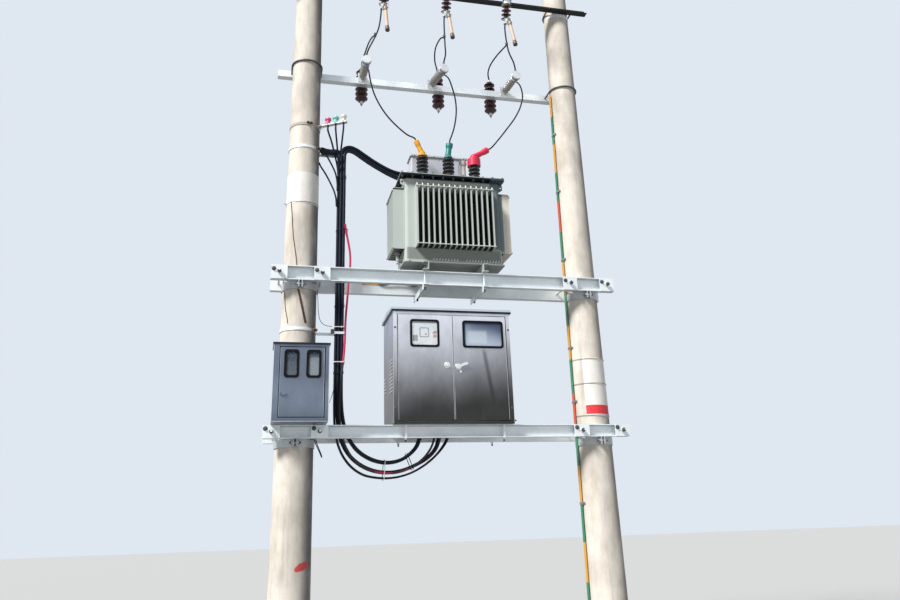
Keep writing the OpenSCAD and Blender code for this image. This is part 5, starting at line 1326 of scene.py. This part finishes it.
def makeEarthTab(k):
    shape = Shape()
    left, right, y, z = k["from"], k["to"], k["y"], k["z"]
    outline = roundedLoop((right - left) / 2, k["halfHigh"], 3)
    shape.pressed(faceOn((left + right) / 2, y, z), outline, k["thick"], 0.7)
    shape.paint = 1
    shape.nut((left + 16, y - k["thick"], z), (0, -1, 0), 12, 7)
    shape.nut((right - 14, y - k["thick"], z), (0, -1, 0), 10, 5)
    shape.turned(axes(k["gland"], (0, 0, -1)), k["glandRing"], 24, True)
    place(shape, "earthTab", "station", "earth_paint", "paintedStrip", "darkSteel")


# Post insulators: x and swing of each, tilt, foot and length of the post; tie wires on their heads
postTies = {"posts": ((524, 2), (1198, 17), (1939, 10)), "tilt": 7, "foot": (119.9, 5422), "long": 248,
            "wire": 2.2, "turns": 3, "radius": 44.4, "from": -9, "rise": 5.5, "tailUp": 43, "tailRadius": 9.2,
            "tail": 1.8}


def makePostTies(k):
    shape = Shape()
    y, z = k["foot"]
    for x, swing in k["posts"]:
        turn, tilt = math.radians(swing), math.radians(k["tilt"])
        way = Vector((math.cos(tilt) * math.sin(turn), -math.cos(tilt) * math.cos(turn), math.sin(tilt)))
        head = Vector((x, y, z)) + way * k["long"]
        frame = axes(head, way, (0, 0, 1))
        coil, r = [], k["radius"]
        for i in range(16 * k["turns"]):
            a = math.tau * i / 16
            coil.append(frame @ Vector((r * math.cos(a), r * math.sin(a), k["from"] + k["rise"] * i / 16)))
        shape.bent(coil, k["wire"], 6)
        for up in sides:
            foot = head + Vector((0, 0, up * k["tailUp"]))
            r = k["tailRadius"]
            twist = [foot + Vector((r * math.cos(0.9 * i), r * math.sin(0.9 * i), up * (2 + 1.1 * i)))
                     for i in range(28)]
            shape.bent(twist, k["tail"], 6)
        shape.turned(axes(head - way * 20, way), [(43, 0), (44.2, 2), (44.2, 5), (43, 7)], 32)
    place(shape, "postTies", "station", "zinc", "steel")


# Clamps where the spurs leave the leads, each between two points of their routes
spurClamps = {"wide": 34, "high": 24, "deep": 20, "lift": 6, "size": 9,
              "ends": (((596, -202, 5678), (608, -205, 5680)), ((1255, -214, 5735), (1262, -215, 5740)),
                       ((1874, -211, 5725), (1880, -215, 5740)))}


def makeSpurClamps(k):
    shape = Shape()
    half = k["deep"] / 2
    for a, b in k["ends"]:
        middle = (Vector(a) + Vector(b)) / 2
        frame = axes(middle + Vector((0, 0, k["lift"])), (0, -1, 0), (0, 0, 1))
        for low in (-half - 1, 1):
            shape.pressed(frame, roundedLoop(k["wide"] / 2, k["high"] / 2, 4, 3), half, 1.2, low)
        shape.nut(frame @ Vector((0, 0, half + 1)), (0, -1, 0), k["size"], 5)
    place(shape, "spurClamps", "station", "dark_zinc", "castMetal")


# Tape round two of the spools, which stand along an arm of the low-voltage bracket
spoolTape = {"at": (225, 300), "armTurn": -30, "z": 4751.3,
             "section": ((27.4, 1), (28.4, 2), (28.4, 15), (18.6, 24), (18.6, 38), (28.4, 47), (28.4, 60),
                         (27.4, 61), (26.6, 60), (26.6, 47), (16.6, 38), (16.6, 24), (26.6, 15))}


def makeSpoolTape(k):
    shape = Shape()
    turn = math.radians(k["armTurn"])
    for paint, out in enumerate(k["at"]):
        shape.paint = paint
        shape.turned(axes((out * math.cos(turn), out * math.sin(turn), k["z"])), k["section"], 28, True)
    place(shape, "spoolTape", "station", "porcelain", "pinkTape", "tealTape")


# Nuts under the line insulators
pinNuts = {"xs": (590, 1290, 1990), "y": -131.2, "z": 9336.9, "size": 20, "tail": 16}


def makePinNuts(k):
    shape = Shape()
    for x in k["xs"]:
        shape.nut((x, k["y"], k["z"]), (0, 0, -1), k["size"], k["tail"])
    place(shape, "linePinNuts", "station", "zinc", "steel")


# Rusty wires and a strap down the front of the left pole: height and angle of each end
rustyWire = {"thick": 2.4, "wires": (((4010, -137), (3402, -104)), ((3212, -151), (2930, -128))), "wave": 1.2,
             "strap": ((3215, -96), (2935, -69)), "strapWide": 7.4,
             "section": ((-0.5, 0.4), (0.5, 0.4), (0.5, 2.2), (0, 2.6), (-0.5, 2.2))}


def makeRustyWire(k):
    shape = Shape()
    for (high, first), (low, last) in k["wires"]:
        line = []
        for i in range(25):
            t = i / 24
            angle = first + (last - first) * t + k["wave"] * math.sin(9 * t)
            line.append(aroundPole(0, angle, high + (low - high) * t, k["thick"] + 2))
        shape.bent(line, k["thick"], 8)
    (high, first), (low, last) = k["strap"]
    rings = []
    for i in range(19):
        t = i / 18
        angle, z = first + (last - first) * t, high + (low - high) * t
        edge = [aroundPole(0, angle + u * k["strapWide"], z, off) for u, off in k["section"]]
        rings.append([shape.mesh.verts.new(corner * mm) for corner in edge])
    shape.skin(rings)
    place(shape, "rustyWire", "station", "dark_zinc", "oldRust")


# Saddles that hold the earth strip to the right pole: a bridge over the strip, its legs and its feet
stripSaddles = {"heights": (620, 1500, 2330, 2800, 3620, 4300, 4900), "y": -10, "out": 13.4, "halfWide": 26,
                "halfHigh": 10, "thick": 2.2, "leg": 17, "legAt": 25, "footAt": 36}


def makeStripSaddles(k):
    shape = Shape()
    px, y, half, thick = poles["xs"][1], k["y"], k["halfHigh"], k["thick"]
    for z in k["heights"]:
        r = poleRadius(z)
        bridge = axes((px - r - k["out"], y, z), (-1, 0, poles["taper"]), (0, 1, 0))
        shape.pressed(bridge, roundedLoop(k["halfWide"], half, 3, 2), thick, 0.5)
        for s in sides:
            leg = axes((px - r + 2.5, y + s * k["legAt"], z), (-1, 0, 0), (0, 1, 0))
            shape.pressed(leg, roundedLoop(2, half, 1, 2), k["leg"], 0.4)
            spot = aroundPole(px, 180, z) + Vector((3, y + s * k["footAt"], 0))
            foot = axes(spot, (-1, -0.22 * s, 0), (0, 1, 0))
            shape.pressed(foot, roundedLoop(half, half, 3, 2), thick, 0.5)
    place(shape, "stripSaddles", "station", "zinc", "steel")


# Leaves of the cabinet: bright folds along their edges, bezels round the knob and the lever, and a lock
leafTrim = {"fold": 1.5, "foldIn": 1.1, "low": 2152, "high": 2993, "proud": 0.2, "knob": (1183, 2587),
            "knobOut": 15, "lever": (1275, 2575), "lock": (1292, 2535)}


def foldLine(shape, x, y, low, high, radius):
    line = [(x, y, low), (x, y, low + 3), (x, y, high - 3), (x, y, high)]
    shape.bent(line, [radius * 0.4, radius, radius, radius * 0.4], 6)


def makeLeafTrim(k):
    left, right = Shape(), Shape()
    front = boxOf("cabinet_door_right")[0][1]
    for shape, node in ((left, "cabinet_door_left"), (right, "cabinet_door_right")):
        low, high = boxOf(node)
        for x in (low[0] + k["foldIn"], high[0] - k["foldIn"]):
            foldLine(shape, x, front - k["proud"], k["low"], k["high"], k["fold"])
    (x, z), out = k["knob"], k["knobOut"]
    left.turned(faceOn(x, front, z), [(17.4, 0.1), (24, 0.1), (24, 1.6), (21, 3.2), (17.4, 3.2)], 28, True)
    left.turned(faceOn(x, front - out, z), [(14, 0.1), (13, 1.6), (5, 2.2), (4, 0.4), (2, 0.4)], 24)
    x, z = k["lever"]
    right.turned(faceOn(x, front, z), [(18.2, 0.1), (25, 0.1), (25, 1.4), (23, 2.6), (18.2, 2.6)], 28, True)
    x, z = k["lock"]
    right.turned(faceOn(x, front, z), [(11, 0.1), (11, 3), (9.5, 4), (8, 4), (7.6, 2.6), (2, 2.6)], 24)
    place(left, "leftLeafTrim", "left_leaf", "stainless", "chrome")
    place(right, "rightLeafTrim", "right_leaf", "stainless", "chrome")


# Body of the cabinet: bright folds on its front edges, rivets beside the leaves, earth screws low on its ends
cabinetTrim = {"fold": 1.6, "foldIn": 1.5, "foldEnds": (4, 9), "proud": 0.4, "rivetIn": 16,
               "rivets": (2243, 2890), "screwUp": 30, "screwY": 205, "size": 14, "cap": 226}


def makeCabinetTrim(k):
    edges = Shape()
    low, high = boxOf("cabinet_frame")
    front = low[1]
    foot, head = low[2] + k["foldEnds"][0], high[2] - k["foldEnds"][1]
    for x in (low[0] + k["foldIn"], high[0] - k["foldIn"]):
        foldLine(edges, x, front - k["proud"], foot, head, k["fold"])
    place(edges, "cabinetEdges", "station", "stainless", "chrome")
    posts = Shape()
    for x in (low[0] + k["rivetIn"], high[0] - k["rivetIn"]):
        for z in k["rivets"]:
            posts.turned(faceOn(x, front, z), [(9, 0.1), (9, 1.2), (7, 3.2), (3, 4.2)], 20)
    z = low[2] + k["screwUp"]
    for x, out in ((high[0], 1), (low[0], -1)):
        posts.nut((x, -out * k["screwY"], z), (out, 0, 0), k["size"], 14)
    posts.turned(axes((high[0] + 0.3, k["cap"], z), (1, 0, 0), (0, 0, 1)), [(11, 0.1), (11, 3), (9, 4)], 20)
    place(posts, "cabinetScrews", "station", "stainless", "darkSteel")


# Meter box: folds on its door, the screw of its catch, and folds round the body
meterBoxTrim = {"doorFold": 1.2, "doorIn": 1.1, "low": 2158, "high": 2672, "catch": (-125.5, -416.6, 2324),
                "fold": 1.8, "foldOut": 0.9, "bodyLow": 2123, "bodyHigh": 2694, "foot": 2121.5, "middle": 20}


def makeMeterBoxTrim(k):
    door = Shape()
    low, high = boxOf("meter_box_door")
    front = boxOf("meter_box_frame")[0][1]
    for x in (low[0] + k["doorIn"], high[0] - k["doorIn"]):
        foldLine(door, x, front - 0.2, k["low"], k["high"], k["doorFold"])
    door.paint = 1
    door.turned(faceOn(*k["catch"]), [(5, 0.1), (4.6, 1.4), (2, 1.8)], 16)
    place(door, "meterLeafTrim", "meter_leaf", "stainless", "chrome", "darkSteel")
    body = Shape()
    low, high = boxOf("meter_box_frame")
    left, right = low[0] + k["foldOut"], high[0] - k["foldOut"]
    for x in (left, right):
        foldLine(body, x, front - 0.4, k["bodyLow"], k["bodyHigh"], k["fold"])
    line = [(x, front - 0.2, k["foot"]) for x in (left + 1.6, k["middle"], right - 1.6)]
    body.bent(line, k["fold"], 6)
    place(body, "meterBoxEdges", "station", "stainless", "chrome")


# Meters: bezel, dark display, keys and a screwed cover below; they carry no lettering
meterFaces = {"box": ((-94.1, -339.4, 2460), (71.1, -339.4, 2460)), "size": (82.5, 180),
              # screen and key of the meter in the cabinet, and the seals beside it
              "screen": (979, -150, 2835, 79, 83), "key": (943, 2828, 40, 50),
              "seals": (1122, -60, (2862, 2894))}


def meterFace(shape, x, y, z, wide, high):
    # face of a meter whose lower left corner is x, z on the plane y
    def at(u, v, out=0):
        return faceOn(x + wide * u, y - out, z + high * v)
    shape.paint = 2
    shape.pressed(at(0.5, 0.5), roundedLoop(wide * 0.5, high * 0.5, wide * 0.05), 2, 0.6)
    shape.paint = 0
    shape.pressed(at(0.5, 0.62), roundedLoop(wide * 0.44, high * 0.32, wide * 0.06), 5, 1.4)
    shape.pressed(at(0.5, 0.15), roundedLoop(wide * 0.47, high * 0.12, wide * 0.04), 8, 1.6)
    shape.paint = 1
    shape.pressed(at(0.5, 0.75, 5), roundedLoop(wide * 0.33, high * 0.10, wide * 0.03), 1.4, 0.4)
    shape.paint = 2
    for u in (0.30, 0.5, 0.70):
        shape.turned(at(u, 0.50, 5), [(wide * 0.045, 0.05), (wide * 0.045, 1.6), (wide * 0.03, 2.2)], 16)
    for u in (0.14, 0.86):
        shape.turned(at(u, 0.15, 8), [(wide * 0.04, 0.05), (wide * 0.035, 1.2), (wide * 0.02, 1.5)], 16)


def makeMeterFaces(k):
    shape = Shape()
    for corner in k["box"]:
        meterFace(shape, *corner, *k["size"])
    x, y, z, wide, high = k["screen"]
    screen = faceOn(x + wide / 2, y, z + high / 2)
    shape.paint = 1
    shape.pressed(screen, roundedLoop(wide / 2, high / 2, 9), 4, 1)
    shape.paint = 4
    shape.pressed(screen, roundedLoop(wide / 2 - 8, high / 2 - 8, 6), 5.4, 1)
    shape.paint = 2
    shape.pressed(faceOn(x + wide * 0.66, y - 5.4, z + high * 0.30), roundedLoop(9, 7, 2), 2, 0.6)
    x, z, wide, high = k["key"]
    shape.paint = 1
    shape.pressed(faceOn(x, y, z), roundedLoop(wide / 2, high / 2, 3), 7, 1.4)
    shape.paint = 3
    x, y, heights = k["seals"]
    for z in heights:
        shape.pressed(faceOn(x, y, z), roundedLoop(13, 9, 3), 46, 1.5)
    place(shape, "meterFaces", "station", "instrument", "whitePlastic", "display", "greyPlastic",
          "orangePlastic", "instrument")


# Breakers on the plate and the switch above them: toggles, rows of terminals and their screws
breakers = {"xs": (870.6, 1057.7, 1244.9, 1432.0), "wide": 110, "front": 90, "middle": 2340, "pitch": 34,
            "row": 68, "switch": (1440, 50, 2700), "switchPitch": 78, "switchRow": 110}


def makeBreakers(k):
    shape = Shape()
    y, z = k["front"], k["middle"]
    for left in k["xs"]:
        x = left + k["wide"] / 2
        shape.paint = 0
        shape.pressed(faceOn(x, y, z), roundedLoop(44, 44, 4), 6, 1)
        shape.paint = 1
        shape.pressed(faceOn(x, y - 6, z + 6), roundedLoop(13, 17, 4), 16, 3)
        for u in sides:
            for v in (-1, 0, 1):
                screwX, screwZ = x + k["pitch"] * v, z + k["row"] * u
                shape.paint = 1
                shape.pressed(faceOn(screwX, y, screwZ), roundedLoop(13, 15, 2), 2, 0.5)
                shape.paint = 2
                shape.turned(faceOn(screwX, y - 2, screwZ), [(7, 0.05), (7, 1.8), (5, 2.6)], 16)
    x, y, z = k["switch"]
    shape.paint = 1
    shape.pressed(faceOn(x, y, z), roundedLoop(112, 52, 8), 8, 1.6)
    shape.paint = 0
    shape.pressed(faceOn(x, y - 8, z + 6), roundedLoop(26, 30, 6), 26, 4)
    shape.paint = 2
    for u in sides:
        for v in (-1, 0, 1):
            spot = faceOn(x + k["switchPitch"] * v, y, z + k["switchRow"] * u)
            shape.turned(spot, [(15, 0.05), (15, 5), (11, 7)], 6)
    place(shape, "breakerTrim", "station", "instrument", "whitePlastic", "greyPlastic", "brass")


# Tank: nuts round the bushings, ribs of the caps (x, y, foot, radius, height), drain valve and earth screws
tankTrim = {"bushings": (1048, 1290, 1532), "bushingY": -80, "nuts": 6, "nutCircle": 43, "nutZ": 4298,
            "size": 8, "caps": ((1450, 10, 4510, 33, 40), (910, -40, 4352, 28, 26), (1680, 60, 4312, 21, 60)),
            "ribs": 18, "valve": (815, -60), "valveZ": 3525, "collars": (822, 833, 844), "stem": 3557,
            "wheel": 22, "wheelZ": 3583, "screws": ((895, -215, -1), (1685, 215, 1)), "screwZ": 3475}


def makeTankTrim(k):
    shape = Shape()
    for x in k["bushings"]:
        for i in range(k["nuts"]):
            a = math.tau * (i + 0.5) / k["nuts"]
            dx, dy = k["nutCircle"] * math.cos(a), k["nutCircle"] * math.sin(a)
            shape.nut((x + dx, k["bushingY"] + dy, k["nutZ"]), (0, 0, 1), k["size"], 5)
    for x, y, z, r, high in k["caps"]:
        for dx, dy in circle(1, k["ribs"]):
            frame = axes((x + r * dx, y + r * dy, z + 3), (0, 0, 1), (dx, dy, 0))
            shape.pressed(frame, roundedLoop(1.8, 2.2, 0.8, 2), high - 6, 0.5)
    x, y = k["valve"]
    pipe = axes((0, y, k["valveZ"]), (1, 0, 0), (0, 0, 1))
    for out in k["collars"]:
        shape.turned(pipe, [(17.2, out), (22, out + 1), (22, out + 6), (17.2, out + 7)], 24)
    shape.turned(axes((x, y, k["stem"])), [(16, 0), (16, 7), (9, 11), (5, 12), (4, 28)], 24)
    wheel = [(x + dx, y + dy, k["wheelZ"]) for dx, dy in circle(k["wheel"], 32)]
    shape.bent(wheel, 3.4, 8, True)
    for i in (0, 11, 21):
        shape.bent([(x, y, k["wheelZ"] - 2), wheel[i]], 2.4, 6)
    for x, y, out in k["screws"]:
        shape.nut((x, y, k["screwZ"]), (0, out, 0), 9, 8)
    place(shape, "tankTrim", "station", "zinc", "steel")


# Terminal box: screws along its lid and its front, folds on its edges
terminalTrim = {"middle": 1233, "lidPitch": 94, "lidZ": 4604, "lidFaces": ((48, -1), (232, 1)),
                "frontPitch": 108, "front": 60, "rows": (4310, 4575), "foldAt": (1045, 1421),
                "screw": ((5.5, 0.05), (5.5, 1.5), (3.5, 3)), "foldEnds": (4292, 4590),
                "seam": ((976, 4330), (1236, 4330), (1490, 4330))}


def makeTerminalTrim(k):
    shape = Shape()
    middle, front = k["middle"], k["front"]
    for i in range(6):
        for y, out in k["lidFaces"]:
            spot = (middle + k["lidPitch"] * (i - 2.5), y, k["lidZ"])
            shape.turned(axes(spot, (0, out, 0), (1, 0, 0)), k["screw"], 14)
    for z in k["rows"]:
        for i in range(5):
            shape.turned(faceOn(middle + k["frontPitch"] * (i - 2), front, z), k["screw"], 14)
    for x in k["foldAt"]:
        foldLine(shape, x, front, *k["foldEnds"], 1.6)
    shape.bent([(x, front - 1.6, z) for x, z in k["seam"]], 1.5, 6)
    place(shape, "terminalBoxTrim", "station", "lv_box", "steel")


# Fuses: x of each, the turn of a base and of a dropped tube about the hinge; horns and bolts on the bases
fuseTrim = {"xs": {"left": 685, "middle": 1290, "right": 1895}, "hinge": (-285, 5950), "baseTurn": 20,
            "tubeTurn": 160,
            "hornLine": ((25, 60, 390), (33, 34, 399), (38, 6, 405), (38, -16, 411), (34, -27, 423),
                         (26, -23, 440)),
            "horn": 4.5, "armBolt": (14, 96, 398.5), "strapBolt": (33.5, 120), "strapBolts": (208, 232),
            "footBolt": (-42.5, 25, 18), "spring": 1.5, "coil": 8.5, "coilAt": (-15, 32, 34),
            # rings on a tube, the ribs of its cap, and the line of its catch
            "rings": (54, 61, 68, 318, 325), "catch": ((-12, 20), (-22, 26), (-27, 38), (-24, 52), (-19, 60)),
            "cap": ((20.2, 338), (20.9, 339), (20.9, 343), (20.4, 344), (20.4, 364), (20.9, 365), (20.9, 370),
                    (19, 373))}


def fuseFrameAt(x, turn):
    return Matrix.Translation((x, *fuseTrim["hinge"])) @ Matrix.Rotation(math.radians(turn), 4, "X")


def makeFuseBaseTrim(k):
    shape = Shape()
    for x in k["xs"].values():
        frame = fuseFrameAt(x, k["baseTurn"])
        turn = frame.to_3x3()
        for s in sides:
            shape.bent([frame @ Vector((s * a, b, c)) for a, b, c in k["hornLine"]], k["horn"], 8)
            a, b, c = k["armBolt"]
            shape.nut(frame @ Vector((s * a, b, c)), turn @ Vector((0, 0, 1)), 8, 5)
        a, b = k["strapBolt"]
        for c in k["strapBolts"]:
            shape.nut(frame @ Vector((a, b, c)), turn @ Vector((1, 0, 0)), 8, 7)
            shape.nut(frame @ Vector((-a, b, c)), turn @ Vector((-1, 0, 0)), 8)
        shape.nut(frame @ Vector(k["footBolt"]), turn @ Vector((-1, 0, 0)), 10, 6)
        (a, b, c), r = k["coilAt"], k["coil"]
        coil = [frame @ Vector((a + 1.1 * i / 4, b + r * math.cos(0.8 * i), c + r * math.sin(0.8 * i)))
                for i in range(84)]
        shape.bent(coil, k["spring"], 5)
    place(shape, "fuseBaseTrim", "station", "dark_zinc", "steel")


def makeTubeTrim(name, k):
    frame = fuseFrameAt(k["xs"][name], k["tubeTurn"])
    shape = Shape()
    for low in k["rings"]:
        shape.turned(frame, [(16.2, low), (17.4, low + 1), (17.4, low + 4), (16.2, low + 5)], 24)
    shape.turned(frame, k["cap"], 24)
    shape.bent([frame @ Vector((0, b, c)) for b, c in k["catch"]], [3, 3.4, 3.4, 3, 2], 8)
    place(shape, name + "TubeTrim", name + "_fuse", "fuse_tube", "darkBrass")


# Arresters: nuts on their studs and round their bands
arresterTrim = {"xs": (532, 1291, 1826), "y": 253.2, "top": 5587, "foot": 5211, "band": 5412, "ribAt": 17,
                "size": 12, "bolts": (14, 189.5, 5407)}


def makeArresterTrim(k):
    shape = Shape()
    boltX, boltY, boltZ = k["bolts"]
    for x in k["xs"]:
        shape.nut((x, k["y"], k["top"]), (0, 0, 1), k["size"] * 0.9, 5)
        shape.nut((x, k["y"], k["foot"]), (0, 0, -1), k["size"], 12)
        for s in sides:
            shape.nut((x + s * boltX, boltY, boltZ), (0, 1, 0), 8)
            rib = axes((x, k["y"], k["band"] + s * k["ribAt"]))
            shape.turned(rib, [(39.1, -3), (41, -2), (41, 2), (39.1, 3)], 32)
        shape.nut((x + 40, k["y"], k["band"]), (1, 0, 0), 9, 8)
    place(shape, "arresterTrim", "station", "zinc", "steel")


makeRimBolts(rimBolts)
makeWelds(welds)
makeClampTrim(clampTrim, boltTrim)
makeArmSaddles(armSaddles)
makeBandTrim(bandTrim)
for name in ("left", "right"):
    makePoleSign(name, poleSigns)
makeSignTies(poleSigns)
makeCableTies(cableTies)
makeArmWrap(armWrap)
makeEarthTab(earthTab)
makePostTies(postTies)
makeSpurClamps(spurClamps)
makeSpoolTape(spoolTape)
makePinNuts(pinNuts)
makeRustyWire(rustyWire)
makeStripSaddles(stripSaddles)
makeLeafTrim(leafTrim)
makeCabinetTrim(cabinetTrim)
makeMeterBoxTrim(meterBoxTrim)
makeMeterFaces(meterFaces)
makeBreakers(breakers)
makeTankTrim(tankTrim)
makeTerminalTrim(terminalTrim)
makeFuseBaseTrim(fuseTrim)
for name in fuseTrim["xs"]:
    makeTubeTrim(name, fuseTrim)
makeArresterTrim(arresterTrim)
print("small parts made")
